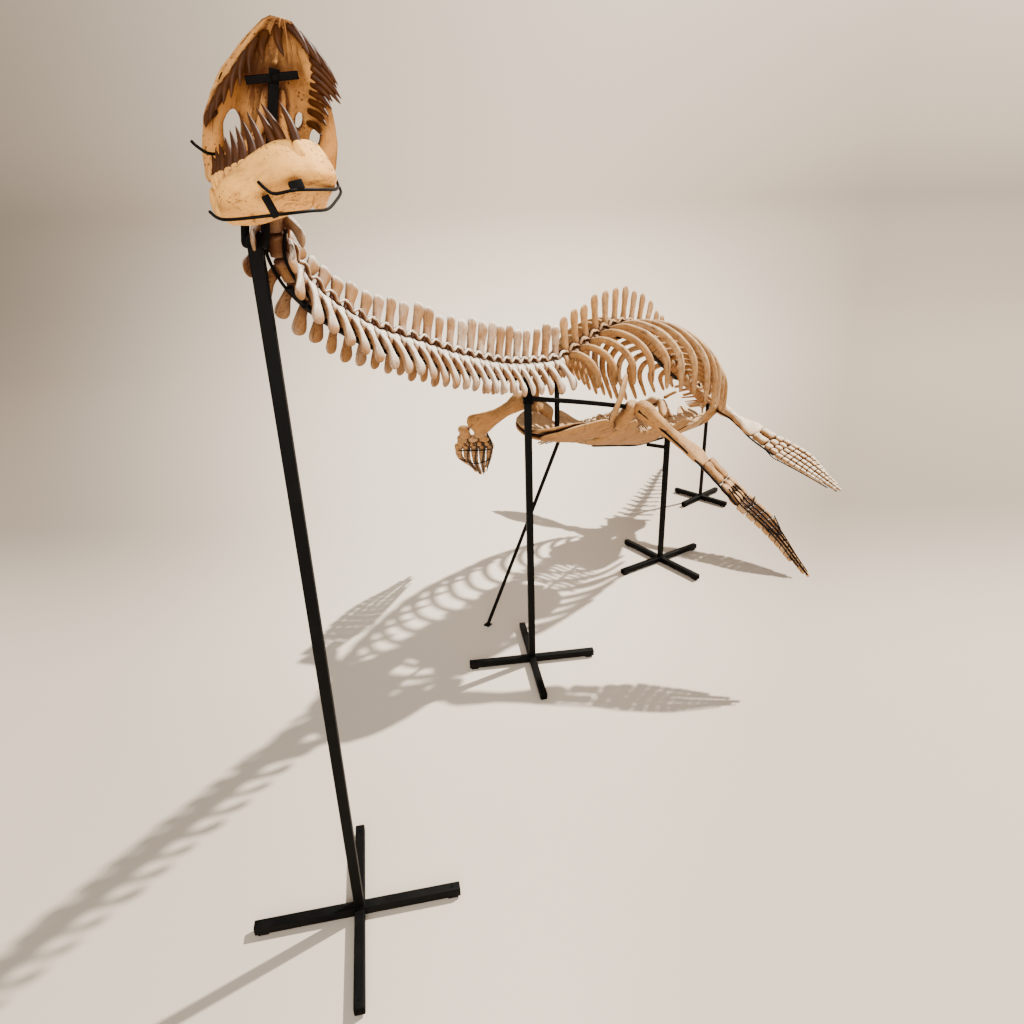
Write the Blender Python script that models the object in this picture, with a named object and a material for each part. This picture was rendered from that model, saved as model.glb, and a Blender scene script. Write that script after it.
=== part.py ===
# Mounted skeleton of a long-necked plesiosaur, life size, on black steel stands
#
# The skeleton swims: the neck rises to a head that is turned to its left with the
# jaws wide open, and the four paddles reach out and down. It is held still by four
# stands with crossed feet, a leaning prop and flat bars and rails along the bones.
# +X is towards the head, +Y is the animal's left and +Z is up.

import math
import random

import bmesh
import bpy
import numpy as np
from mathutils import Matrix

# Driving dimensions, in metres
GAP = 0.0003

NECK_COUNT = 26
TRUNK_COUNT = 21
TAIL_COUNT = 17
RIB_FIRST = 1
RIB_LAST = 17

SPINE_ROUTE = (
    (1.755, 0.310, 2.575),
    (1.735, 0.286, 2.500),
    (1.694, 0.276, 2.410),
    (1.604, 0.261, 2.325),
    (1.485, 0.242, 2.255),
    (1.325, 0.216, 2.180),
    (1.090, 0.178, 2.105),
    (0.785, 0.128, 2.005),
    (0.320, 0.052, 1.880),
    (-0.060, 0.000, 1.815),
    (-0.250, 0.000, 1.797),
    (-0.356, 0.000, 1.800),
    (-0.600, 0.000, 1.835),
    (-0.865, 0.000, 1.880),
    (-1.162, 0.000, 1.880),
    (-1.500, 0.000, 1.806),
    (-1.797, 0.000, 1.652),
    (-2.253, 0.000, 1.425),
    (-2.795, 0.000, 1.156),
    (-2.950, 0.000, 1.064),
    (-3.060, 0.000, 1.005),
    (-3.500, -0.140, 0.850),
    (-4.000, -0.300, 0.730),
    (-4.430, -0.430, 0.620),
)
NECK_END_X = -0.356
TRUNK_END_X = -2.900

HEAD_POINT = (1.797, 0.356, 2.594)
HEAD_FACING = (0.530, 0.848, 0.000)
SNOUT_LEAN = math.radians(16.0)
HEAD_ROLL = math.radians(10.5)
SKULL_LENGTH = 0.378
SKULL_HALF_WIDTH = 0.155
JAW_RISE = math.radians(18.0)
JAW_ROLL = math.radians(-6.0)

FOOT_TUBE = 0.040
FOOT_PAD = 0.010
ROD_TUBE = 0.038
THIN_ROD_TUBE = 0.026

STANDS = {
    "head": ((1.814, 0.295), -46.0, 0.400, 2.480, ROD_TUBE),
    "shoulder": ((0.000, 0.000), -49.0, 0.390, 1.790, ROD_TUBE),
    "belly": ((-1.700, 0.172), -24.0, 0.400, 1.120, 0.034),
    "tail": ((-3.170, 0.010), -15.0, 0.285, 1.020, THIN_ROD_TUBE),
}

BONE = (0.62, 0.41, 0.22)
HEAD_BONE = (0.72, 0.50, 0.26)
STEEL = (0.012, 0.012, 0.013)

random.seed(31)


# Small vector helpers
def unit(vector):
    vector = np.asarray(vector, float)
    return vector / np.linalg.norm(vector)


def smooth_route(points, per_span=24):
    """Curve through the points, each span a cubic with neighbour-to-neighbour slopes."""
    points = np.asarray(points, float)
    padded = np.vstack([2 * points[0] - points[1], points, 2 * points[-1] - points[-2]])
    t = np.linspace(0.0, 1.0, per_span, endpoint=False)[:, None]
    spans = []
    for k in range(len(points) - 1):
        a, b, c, d = padded[k:k + 4]
        spans.append(
            b + 0.5 * t * (c - a)
            + t ** 2 * (a - 2.5 * b + 2 * c - 0.5 * d)
            + t ** 3 * (1.5 * b - 0.5 * a - 1.5 * c + 0.5 * d)
        )
    spans.append(points[-1:])
    return np.vstack(spans)


def arc_lengths(points):
    steps = np.linalg.norm(np.diff(points, axis=0), axis=1)
    return np.concatenate([[0.0], np.cumsum(steps)])


def along(points, count):
    """The same number of points evenly spaced along the smoothed route."""
    dense = smooth_route(points)
    arc = arc_lengths(dense)
    at = np.linspace(0.0, arc[-1], count)
    return np.stack([np.interp(at, arc, dense[:, i]) for i in range(3)], axis=1)


# The backbone as a measured line, from the head to the end of the tail
SPINE_LINE = smooth_route(SPINE_ROUTE)
SPINE_ARC = arc_lengths(SPINE_LINE)


def arc_at_x(x):
    return float(np.interp(-x, -SPINE_LINE[:, 0], SPINE_ARC))


NECK_ARC = arc_at_x(NECK_END_X)
TRUNK_ARC = arc_at_x(TRUNK_END_X)
TAIL_ARC = float(SPINE_ARC[-1])


def spine_point(s):
    return np.array([np.interp(s, SPINE_ARC, SPINE_LINE[:, i]) for i in range(3)])


def spine_frame(s):
    """Point on the backbone with its forward, left and upward directions."""
    step = 0.02
    forward = unit(spine_point(s - step) - spine_point(s + step))
    left = unit(np.cross((0.0, 0.0, 1.0), forward))
    return spine_point(s), forward, left, np.cross(forward, left)


def by_arc(s, *pairs):
    return float(np.interp(s, [p[0] for p in pairs], [p[1] for p in pairs]))


def centrum_radius(s):
    return by_arc(
        s, (0.0, 0.024), (0.5, 0.030), (1.3, 0.038), (NECK_ARC, 0.047),
        (TRUNK_ARC - 0.8, 0.052), (TRUNK_ARC, 0.046), (TAIL_ARC, 0.011),
    )


def spine_height(s):
    return by_arc(
        s, (0.0, 0.062), (0.4, 0.092), (0.9, 0.150), (1.5, 0.195), (NECK_ARC, 0.235),
        (3.1, 0.262), (TRUNK_ARC - 0.8, 0.245), (TRUNK_ARC, 0.190), (TAIL_ARC, 0.020),
    )


def neck_joint(k):
    """Arc length where a neck vertebra starts; each vertebra is longer than the last."""
    share = k / NECK_COUNT
    return NECK_ARC * (0.70 * share + 0.30 * share ** 2)


def even_joints(s_from, s_to, count):
    """Arc lengths of the joints of equally long vertebrae."""
    return [s_from + (s_to - s_from) * k / count for k in range(count + 1)]


# Closed pieces: each is a list of vertices and a list of faces
def loft(rings):
    """Skin over rings of equal count with a flat cap at each end."""
    count = len(rings[0])
    verts = np.vstack(rings)
    faces = []
    for k in range(len(rings) - 1):
        for i in range(count):
            a = k * count + i
            b = k * count + (i + 1) % count
            faces.append((a, b, b + count))
            faces.append((a, b + count, a + count))
    last = (len(rings) - 1) * count
    faces.append(tuple(range(count))[::-1])
    faces.append(tuple(range(last, last + count)))
    return verts, faces


def strut(points, half_a, half_b, axis, sides=4):
    """Bar of four or more sides along points; half_a is measured along the axis."""
    points = np.asarray(points, float)
    half_a = np.broadcast_to(half_a, len(points))
    half_b = np.broadcast_to(half_b, len(points))
    tangents = np.gradient(points, axis=0)
    angle = (np.arange(sides) + 0.5) * 2 * math.pi / sides
    scale = math.sqrt(2.0) if sides == 4 else 1.0
    rings = []
    for point, tangent, a, b in zip(points, tangents, half_a, half_b):
        along_dir = unit(tangent)
        second = unit(np.cross(along_dir, axis))
        first = np.cross(second, along_dir)
        rings.append(
            point
            + scale * a * np.cos(angle)[:, None] * first
            + scale * b * np.sin(angle)[:, None] * second
        )
    return loft(rings)


def spike(root, tip, radius, bow, sides=4):
    """Curved pointed cone from a sunk root to its tip."""
    root = np.asarray(root, float)
    tip = np.asarray(tip, float)
    middle = 0.5 * (root + tip) + np.asarray(bow, float)
    axis = unit(tip - root)
    helper = (0.0, 0.0, 1.0) if abs(axis[2]) < 0.8 else (1.0, 0.0, 0.0)
    second = unit(np.cross(axis, helper))
    third = np.cross(axis, second)
    angle = np.arange(sides) * 2 * math.pi / sides
    circle = np.cos(angle)[:, None] * second + np.sin(angle)[:, None] * third
    verts = np.vstack([root + radius * circle, middle + 0.8 * radius * circle, tip[None, :]])
    faces = []
    for i in range(sides):
        j = (i + 1) % sides
        faces.append((i, j, sides + j))
        faces.append((i, sides + j, sides + i))
        faces.append((sides + i, sides + j, 2 * sides))
    for i in range(1, sides - 1):
        faces.append((0, i + 1, i))
    return verts, faces


def plate(outline, centre, thickness, normal):
    """Flat bone: the outline and its centre, thick along the normal."""
    outline = np.asarray(outline, float)
    centre = np.asarray(centre, float)
    count = len(outline)
    rise = 0.5 * thickness * unit(normal)
    verts = np.vstack([
        outline + 0.7 * rise, outline - 0.7 * rise,
        [centre + rise], [centre - rise],
    ])
    faces = []
    for i in range(count):
        j = (i + 1) % count
        faces.append((i, j, 2 * count))
        faces.append((count + j, count + i, 2 * count + 1))
        faces.append((i, count + i, count + j))
        faces.append((i, count + j, j))
    return verts, faces


def prism(rings):
    """Straight solid between two equal rings, each closed by one many-sided face."""
    count = len(rings[0])
    faces = [tuple(range(count))[::-1], tuple(range(count, 2 * count))]
    for i in range(count):
        j = (i + 1) % count
        faces.append((i, j, count + j, count + i))
    return np.vstack(rings), faces


def block(low, high):
    low = np.asarray(low, float)
    high = np.asarray(high, float)
    corners = ((0, 0), (1, 0), (1, 1), (0, 1))
    rings = []
    for z in (low[2], high[2]):
        rings.append(np.array([
            (low[0] + u * (high[0] - low[0]), low[1] + v * (high[1] - low[1]), z)
            for u, v in corners
        ]))
    return loft(rings)


def turned(piece, centre, degrees):
    """The piece turned about the vertical through a plan point."""
    verts, faces = piece
    verts = np.array(verts, float)
    c = math.cos(math.radians(degrees))
    s = math.sin(math.radians(degrees))
    x = verts[:, 0].copy()
    y = verts[:, 1].copy()
    verts[:, 0] = centre[0] + c * x - s * y
    verts[:, 1] = centre[1] + s * x + c * y
    return verts, faces


# Objects, materials and joining
MATERIALS = {}
NODES = {}


def material_for(name, colour, metallic, roughness):
    material = bpy.data.materials.new(name)
    material.use_nodes = True
    shader = material.node_tree.nodes["Principled BSDF"]
    shader.inputs["Base Color"].default_value = (*colour, 1.0)
    shader.inputs["Metallic"].default_value = metallic
    shader.inputs["Roughness"].default_value = roughness
    return material


def mesh_object(name, piece, collection=None):
    verts, faces = piece
    mesh = bpy.data.meshes.new(name)
    mesh.from_pydata(np.asarray(verts).tolist(), [], faces)
    work = bmesh.new()
    work.from_mesh(mesh)
    if work.calc_volume(signed=True) < 0.0:
        bmesh.ops.reverse_faces(work, faces=work.faces[:])
    work.to_mesh(mesh)
    work.free()
    obj = bpy.data.objects.new(name, mesh)
    (collection or bpy.context.scene.collection).objects.link(obj)
    return obj


def apply_modifiers(obj):
    graph = bpy.context.evaluated_depsgraph_get()
    graph.update()
    result = bpy.data.meshes.new_from_object(obj.evaluated_get(graph))
    old = obj.data
    obj.modifiers.clear()
    obj.data = result
    bpy.data.meshes.remove(old)


def is_closed(work):
    return all(len(edge.link_faces) == 2 for edge in work.edges)


def plain_faces(mesh, angles):
    """Mesh with its flat neighbours merged, as far as it stays closed."""
    for angle in angles:
        work = bmesh.new()
        work.from_mesh(mesh)
        bmesh.ops.remove_doubles(work, verts=work.verts[:], dist=0.00003)
        bmesh.ops.dissolve_limit(
            work, angle_limit=math.radians(angle), verts=work.verts[:], edges=work.edges[:]
        )
        bmesh.ops.triangulate(work, faces=work.faces[:])
        bmesh.ops.dissolve_degenerate(work, edges=work.edges[:], dist=0.00003)
        bmesh.ops.triangulate(work, faces=work.faces[:])
        if is_closed(work):
            return work
        work.free()
    work = bmesh.new()
    work.from_mesh(mesh)
    bmesh.ops.triangulate(work, faces=work.faces[:])
    return work


def largest_surface(obj, angles=(0.02, 0.005)):
    """Keep only the closed surface with the largest volume."""
    work = plain_faces(obj.data, angles)
    work.faces.ensure_lookup_table()
    work.faces.index_update()
    seen = set()
    shells = []
    for face in work.faces:
        if face.index in seen:
            continue
        shell = [face]
        seen.add(face.index)
        for member in shell:
            for edge in member.edges:
                for other in edge.link_faces:
                    if other.index not in seen:
                        seen.add(other.index)
                        shell.append(other)
        volume = sum(
            f.verts[0].co.dot(f.verts[1].co.cross(f.verts[2].co)) for f in shell
        )
        shells.append((abs(volume), shell))
    shells.sort(key=lambda entry: entry[0], reverse=True)
    spare = [f for _, shell in shells[1:] for f in shell]
    if spare:
        bmesh.ops.delete(work, geom=spare, context="FACES")
    loose = [v for v in work.verts if not v.link_faces]
    if loose:
        bmesh.ops.delete(work, geom=loose, context="VERTS")
    work.to_mesh(obj.data)
    work.free()


def join(name, pieces, colour, metallic, roughness, angles):
    """One node from closed pieces that grow into each other."""
    obj = mesh_object(name, pieces[0])
    if len(pieces) > 1:
        collection = bpy.data.collections.new(name + "_pieces")
        bpy.context.scene.collection.children.link(collection)
        for piece in pieces[1:]:
            mesh_object(name + "_piece", piece, collection)
        union = obj.modifiers.new("Join", "BOOLEAN")
        union.operation = "UNION"
        union.operand_type = "COLLECTION"
        union.collection = collection
        union.solver = "MANIFOLD"
        apply_modifiers(obj)
        for helper in list(collection.objects):
            helper_mesh = helper.data
            bpy.data.objects.remove(helper)
            bpy.data.meshes.remove(helper_mesh)
        bpy.data.collections.remove(collection)
    largest_surface(obj, angles)
    obj.data.materials.clear()
    obj.data.materials.append(material_for(name, colour, metallic, roughness))
    NODES[name] = obj
    return obj


def subtract(obj, tool):
    """Cut the tool out of a node and remove the tool."""
    tool.hide_render = True
    tool.display_type = "WIRE"
    cut = obj.modifiers.new("Cut", "BOOLEAN")
    cut.operation = "DIFFERENCE"
    cut.object = tool
    cut.solver = "MANIFOLD"
    apply_modifiers(obj)
    tool_mesh = tool.data
    bpy.data.objects.remove(tool)
    bpy.data.meshes.remove(tool_mesh)


def room_for(obj, away):
    """Copy of a node grown by the joint gap, or moved by it in one direction."""
    work = bmesh.new()
    work.from_mesh(obj.data)
    if away is None:
        work.normal_update()
        moves = [v.normal * min(v.calc_shell_factor(), 2.5) * GAP for v in work.verts]
        for vert, move in zip(work.verts, moves):
            vert.co += move
    else:
        bmesh.ops.translate(work, verts=work.verts[:], vec=tuple(GAP * unit(away)))
    mesh = bpy.data.meshes.new(obj.name + "_room")
    work.to_mesh(mesh)
    work.free()
    room = bpy.data.objects.new(obj.name + "_room", mesh)
    bpy.context.scene.collection.objects.link(room)
    return room


def seat(name, *others, away=None):
    """Cut a node back so that it meets each other node with the joint gap."""
    for other in others:
        subtract(NODES[name], room_for(NODES[other], None))
        if away is not None:
            subtract(NODES[name], room_for(NODES[other], away))
    largest_surface(NODES[name])


def trim(name, point, normal):
    """Cut a node off flat beyond a plane."""
    normal = unit(normal)
    helper = (0.0, 0.0, 1.0) if abs(normal[2]) < 0.8 else (1.0, 0.0, 0.0)
    u = unit(np.cross(normal, helper))
    v = np.cross(normal, u)
    square = np.array([u + v, -u + v, -u - v, u - v]) * 0.5
    point = np.asarray(point, float)
    subtract(NODES[name], mesh_object("cutter", loft([point + square, point + 0.6 * normal + square])))
    largest_surface(NODES[name])


def bone(name, pieces, colour=BONE):
    return join(name, pieces, colour, 0.0, 0.78, (0.7, 0.35, 0.12, 0.02))


def steel(name, pieces):
    return join(name, pieces, STEEL, 0.6, 0.55, (0.02, 0.005))


# Vertebrae
def centra_rings(joints, section):
    """Rings at each joint and waist of a run of vertebrae."""
    rings = []
    last = 2 * len(joints) - 2
    for k in range(last + 1):
        s = 0.5 * (joints[k // 2] + joints[(k + 1) // 2])
        radius = centrum_radius(s) * (1.0 if k % 2 == 0 else 0.80)
        if k == 0:
            s += 0.5 * GAP
        if k == last:
            s -= 0.5 * GAP
        point, _, left, up = spine_frame(s)
        rings.append(np.array([point + radius * (u * left + v * up) for u, v in section]))
    return rings


WHOLE_SECTION = tuple(
    (math.cos(math.radians(a)), math.sin(math.radians(a))) for a in range(0, 360, 60)
)


def half_section(side):
    edge = 0.5 * GAP / 0.05
    return tuple(
        (side * u, v)
        for u, v in ((edge, 0.866), (0.50, 0.866), (1.0, 0.0), (0.50, -0.866), (edge, -0.866))
    )


def neural_spine(s, height, length, lean, side=0):
    """Blade over a vertebra; side is 0 for a whole blade, else 1 or -1 for a half."""
    point, forward, left, up = spine_frame(s)
    radius = centrum_radius(s)
    rings = []
    stages = (
        (0.50 * radius, 0.36, 0.40 * radius),
        (1.00 * radius + 0.10 * height, 0.25, 0.22 * radius),
        (1.00 * height, 0.34, 0.12 * radius),
    )
    if side or height < 0.10:
        stages = (stages[0], stages[2])
    for rise, span, thick in stages:
        centre = point + rise * up - lean * (rise / height) * forward
        half = span * length
        near = 0.5 * GAP if side else -thick
        away = thick
        sign = side if side else 1
        rings.append(np.array([
            centre + half * forward + sign * near * left,
            centre + half * forward + sign * away * left,
            centre - half * forward + sign * away * left,
            centre - half * forward + sign * near * left,
        ]))
    return loft(rings)


def neck_rib(s, side, length, pitch):
    """Hatchet-shaped rib that hangs down and back from a neck vertebra."""
    point, forward, left, up = spine_frame(s)
    radius = centrum_radius(s)
    out = side * left
    root = point + 0.45 * radius * out - 0.10 * radius * up
    knee = point + 1.30 * radius * out - 0.70 * radius * up - 0.10 * length * forward
    tip = knee + length * (0.26 * out - 0.80 * up - 0.42 * forward)
    if length < 0.098:
        return strut([root, tip], [0.20 * pitch, 0.24 * pitch], [0.0070, 0.0050], forward)
    return strut(
        [root, knee, tip],
        [0.18 * pitch, 0.17 * pitch, 0.26 * pitch],
        [0.0080, 0.0080, 0.0060],
        forward,
    )


def trunk_rib(s, side, reach, drop, sweep, wide):
    """Long rib: out from the vertebra, round and down, swept towards the tail."""
    point, _, _, up = spine_frame(s)
    radius = centrum_radius(s)
    shape = np.array([
        (0.00, 0.00, 0.00),
        (0.34, 0.07, 0.07),
        (0.74, -0.09, 0.28),
        (0.98, -0.44, 0.58),
        (0.93, -1.00, 1.00),
    ])
    root = point + 0.35 * radius * up + side * np.array([0.0, 0.4 * radius, 0.0])
    points = root + np.stack([
        -sweep * shape[:, 2],
        side * (reach - 0.4 * radius) * shape[:, 0],
        drop * shape[:, 1],
    ], axis=1)
    halves = wide * np.array([0.80, 0.75, 1.00, 1.00, 0.60])
    thick = np.array([0.014, 0.011, 0.010, 0.009, 0.006])
    return strut(points, halves, thick, (1.0, 0.0, 0.25))


def sacral_process(side, k):
    """End of a side process near the hip and the direction it points in."""
    pitch = (TRUNK_ARC - NECK_ARC) / TRUNK_COUNT
    point, forward, left, up = spine_frame(NECK_ARC + (k + 0.5) * pitch)
    reach = unit(side * left - 0.35 * up)
    return point + 0.125 * reach, reach


def neck_node(index, first, last):
    rings = centra_rings([neck_joint(k) for k in range(first, last + 1)], WHOLE_SECTION)
    pieces = [loft(rings)]
    for k in range(first, last):
        s = 0.5 * (neck_joint(k) + neck_joint(k + 1))
        pitch = neck_joint(k + 1) - neck_joint(k)
        wobble = random.uniform(0.92, 1.06)
        if k > 0:
            blade = pitch * by_arc(s, (0.0, 0.80), (1.0, 1.0), (NECK_ARC, 0.92))
            pieces.append(neural_spine(s, spine_height(s) * wobble, blade, 0.10 * pitch))
        length = by_arc(
            s, (0.0, 0.030), (0.5, 0.062), (1.2, 0.095), (1.9, 0.115), (NECK_ARC, 0.125)
        )
        for side in (1, -1):
            pieces.append(neck_rib(s, side, length * random.uniform(0.93, 1.05), pitch))
    return bone("neck_%d" % index, pieces)


def rib_sizes(k):
    """Reach, drop, sweep and half width of the rib on one trunk vertebra."""
    x = (k - RIB_FIRST) / (RIB_LAST - RIB_FIRST)
    reach = np.interp(x, [0, 0.15, 0.40, 0.65, 0.85, 1.0], [0.20, 0.34, 0.50, 0.47, 0.30, 0.15])
    drop = np.interp(x, [0, 0.15, 0.40, 0.65, 0.85, 1.0], [0.22, 0.34, 0.56, 0.52, 0.30, 0.12])
    sweep = np.interp(x, [0, 0.15, 0.40, 0.65, 0.85, 1.0], [0.16, 0.22, 0.34, 0.36, 0.26, 0.12])
    wide = np.interp(x, [0, 0.2, 0.6, 1.0], [0.016, 0.021, 0.022, 0.012])
    return reach, drop, sweep, wide


def trunk_node(side, index, first, last):
    pitch = (TRUNK_ARC - NECK_ARC) / TRUNK_COUNT
    joints = even_joints(NECK_ARC + first * pitch, NECK_ARC + last * pitch, last - first)
    rings = centra_rings(joints, half_section(side))
    pieces = [loft(rings)]
    for k in range(first, last):
        s = NECK_ARC + (k + 0.5) * pitch
        wobble = 1.0 + 0.035 * math.sin(2.4 * k)
        blade = 0.62 * pitch
        pieces.append(neural_spine(s, spine_height(s) * wobble, blade, 0.06 * pitch, side))
        if RIB_FIRST <= k <= RIB_LAST:
            reach, drop, sweep, wide = rib_sizes(k)
            jitter = random.uniform(0.97, 1.03)
            pieces.append(trunk_rib(s, side, reach, drop * jitter, sweep, wide))
        elif k < RIB_FIRST:
            pieces.append(trunk_rib(s, side, 0.15, 0.20, 0.13, 0.014))
        else:
            tip, reach = sacral_process(side, k)
            pieces.append(strut(
                [tip - 0.105 * reach, tip], [0.026, 0.022], [0.014, 0.012], (1.0, 0.0, 0.0)
            ))
    return bone("trunk_%s_%d" % ("left" if side > 0 else "right", index), pieces)


def tail_node(index, first, last):
    pitch = (TAIL_ARC - TRUNK_ARC) / TAIL_COUNT
    joints = even_joints(TRUNK_ARC + first * pitch, TRUNK_ARC + last * pitch, last - first)
    rings = centra_rings(joints, WHOLE_SECTION)
    pieces = [loft(rings)]
    for k in range(first, last):
        s = TRUNK_ARC + (k + 0.5) * pitch
        point, forward, left, up = spine_frame(s)
        radius = centrum_radius(s)
        fade = 1.0 - k / TAIL_COUNT
        height = max(spine_height(s), 1.6 * radius)
        pieces.append(neural_spine(s, height, 0.70 * pitch, 0.16 * pitch))
        if k < 13:
            for side in (1, -1):
                root = point + 0.4 * radius * side * left
                tip = root + side * (0.035 + 0.125 * fade) * left
                tip = tip - 0.02 * up - 0.030 * forward
                pieces.append(strut(
                    [root, tip], [0.013 + 0.006 * fade, 0.016 * fade + 0.006],
                    [0.007, 0.004], forward,
                ))
        if 1 < k < 14 and k % 2 == 0:
            root = point - 0.5 * radius * up
            tip = root - (0.04 + 0.09 * fade) * up - 0.035 * forward
            pieces.append(strut([root, tip], [0.008, 0.011], [0.006, 0.004], forward))
    return bone("tail_%d" % index, pieces)


# The head, in its own directions: along the snout, left and away from the palate
FACING = unit(HEAD_FACING)
UPRIGHT = np.array((0.0, 0.0, 1.0))
SIDEWAYS = np.cross(UPRIGHT, FACING)


def rolled(angle):
    """Up and left directions of a head part that is rolled about the way it faces."""
    up = math.cos(angle) * UPRIGHT + math.sin(angle) * SIDEWAYS
    left = math.cos(angle) * SIDEWAYS - math.sin(angle) * UPRIGHT
    return up, left


HEAD = np.array(HEAD_POINT)
HEAD_UP, HEAD_LEFT = rolled(HEAD_ROLL)
FACE = math.cos(SNOUT_LEAN) * FACING - math.sin(SNOUT_LEAN) * HEAD_UP
SNOUT = math.cos(SNOUT_LEAN) * HEAD_UP + math.sin(SNOUT_LEAN) * FACING


def in_skull(points):
    """Head points given as along the snout, left, and behind the palate."""
    points = np.atleast_2d(np.asarray(points, float))
    return (
        HEAD + points[:, :1] * SNOUT + points[:, 1:2] * HEAD_LEFT - points[:, 2:3] * FACE
    )


JAW_BASE, JAW_LEFT = rolled(JAW_ROLL)
JAW_FORWARD = math.cos(JAW_RISE) * FACING + math.sin(JAW_RISE) * JAW_BASE
JAW_UP = np.cross(JAW_FORWARD, JAW_LEFT)


def in_jaw(points):
    """Jaw points given as forward, left, and up towards the teeth."""
    points = np.atleast_2d(np.asarray(points, float))
    return (
        HEAD + points[:, :1] * JAW_FORWARD + points[:, 1:2] * JAW_LEFT
        + points[:, 2:3] * JAW_UP
    )


SKULL_STAGES = np.array([0.0, 0.12, 0.25, 0.38, 0.52, 0.66, 0.79, 0.90, 0.97, 1.0])
SKULL_WIDTHS = np.array([0.90, 0.98, 1.00, 0.99, 0.90, 0.76, 0.57, 0.38, 0.24, 0.14])
SKULL_HEIGHTS = np.array([0.080, 0.098, 0.105, 0.108, 0.102, 0.088, 0.072, 0.056, 0.040, 0.024])
VAULT_DEPTHS = np.array([0.040, 0.048, 0.050, 0.046, 0.040, 0.032, 0.024, 0.014, 0.006, 0.002])


def skull_half_width(t):
    return SKULL_HALF_WIDTH * float(np.interp(t, SKULL_STAGES, SKULL_WIDTHS))


def skull_rings():
    rings = []
    for t, height, vault in zip(SKULL_STAGES, SKULL_HEIGHTS, VAULT_DEPTHS):
        w = skull_half_width(t)
        outer = [
            (w * math.cos(a), height * math.sin(a))
            for a in np.radians((0.0, 28.0, 58.0, 90.0, 122.0, 152.0, 180.0))
        ]
        inner = [(-0.82 * w, 0.0), (-0.50 * w, vault), (0.0, 1.15 * vault),
                 (0.50 * w, vault), (0.82 * w, 0.0)]
        along_snout = 0.010 + t * (SKULL_LENGTH - 0.010)
        rings.append(in_skull([(along_snout, u, v) for u, v in outer + inner]))
    return rings


def skull_hole(along_snout, across, half_along, half_across, deep=0.20, start=-0.03):
    """Eight-sided cutter through the skull, seen from the palate."""
    rings = []
    for behind in (start, start + deep):
        rings.append(in_skull([
            (along_snout + half_along * math.cos(a), across + half_across * math.sin(a), behind)
            for a in np.arange(8) * math.pi / 4
        ]))
    return loft(rings)


def cut_holes(name, cutters):
    for cutter in cutters:
        subtract(NODES[name], mesh_object("hole", cutter))
    largest_surface(NODES[name])


UPPER_TEETH_RIGHT = (0.20, 0.27, 0.34, 0.41, 0.49, 0.57, 0.66, 0.75, 0.84)
UPPER_TEETH_LEFT = (0.16, 0.22, 0.28, 0.34, 0.41, 0.48, 0.56, 0.64, 0.73, 0.82, 0.90)


def upper_tooth(t, side):
    """Fang that leans back and outward; the left row splays more than the right one."""
    w = skull_half_width(t)
    a = 0.010 + t * (SKULL_LENGTH - 0.010)
    length = np.interp(t, [0.15, 0.45, 0.75, 0.92], [0.060, 0.095, 0.110, 0.105])
    length = length * random.uniform(0.88, 1.08)
    inset = np.interp(t, [0.2, 0.5, 0.9], [0.86, 0.84, 0.88])
    splay = 0.50 if side > 0 else 0.14
    root = in_skull([(a, side * inset * w, 0.014)])[0]
    tip = in_skull([(a - 0.78 * length, side * (inset * w + splay * length), -0.42 * length)])[0]
    return spike(root, tip, 0.0105, 0.10 * length * HEAD_LEFT * side)


def skull_node():
    pieces = [loft(skull_rings())]
    for side in (1, -1):
        socket = in_skull([
            (0.060, side * 0.128, 0.030), (0.030, side * 0.128, 0.012),
            (0.006, side * 0.128, 0.012),
        ])
        pieces.append(strut(socket, [0.020, 0.018, 0.016], [0.022, 0.020, 0.018], HEAD_LEFT))
    condyle = np.vstack([in_skull([(0.050, 0.0, 0.070)]), spine_point(0.0)])
    point, forward, left, up = spine_frame(0.0)
    radius = centrum_radius(0.0)
    rings = []
    for centre, size in ((condyle[0], 1.5 * radius), (point + 0.5 * GAP * forward, 0.9 * radius)):
        rings.append(np.array([centre + size * (u * left + v * up) for u, v in WHOLE_SECTION]))
    pieces.append(loft(rings))
    for t in UPPER_TEETH_LEFT:
        pieces.append(upper_tooth(t, 1))
    for t in UPPER_TEETH_RIGHT:
        pieces.append(upper_tooth(t, -1))
    for side in (1, -1):
        root = in_skull([(SKULL_LENGTH - 0.03, side * 0.014, 0.012)])[0]
        tip = in_skull([(SKULL_LENGTH - 0.10, side * 0.018, -0.055)])[0]
        pieces.append(spike(root, tip, 0.0085, 0.006 * FACE))
    bone("skull", pieces, HEAD_BONE)
    cut_holes("skull", [
        skull_hole(0.125, -0.090, 0.046, 0.024),
        skull_hole(0.178, 0.068, 0.020, 0.010),
        skull_hole(0.150, 0.108, 0.024, 0.012),
        skull_hole(0.262, -0.092, 0.030, 0.022, 0.060, 0.066),
        skull_hole(0.262, 0.092, 0.030, 0.022, 0.060, 0.066),
    ])


JAW_ROUTE = ((0.012, 1.00), (0.09, 1.02), (0.18, 0.99), (0.25, 0.86), (0.290, 0.52), (0.302, 0.0))
JAW_HALF_WIDTH = 0.118


def jaw_centre_line():
    left = [(m, JAW_HALF_WIDTH * w) for m, w in JAW_ROUTE]
    right = [(m, -w) for m, w in left[-2::-1]]
    return np.array(left + right)


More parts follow.
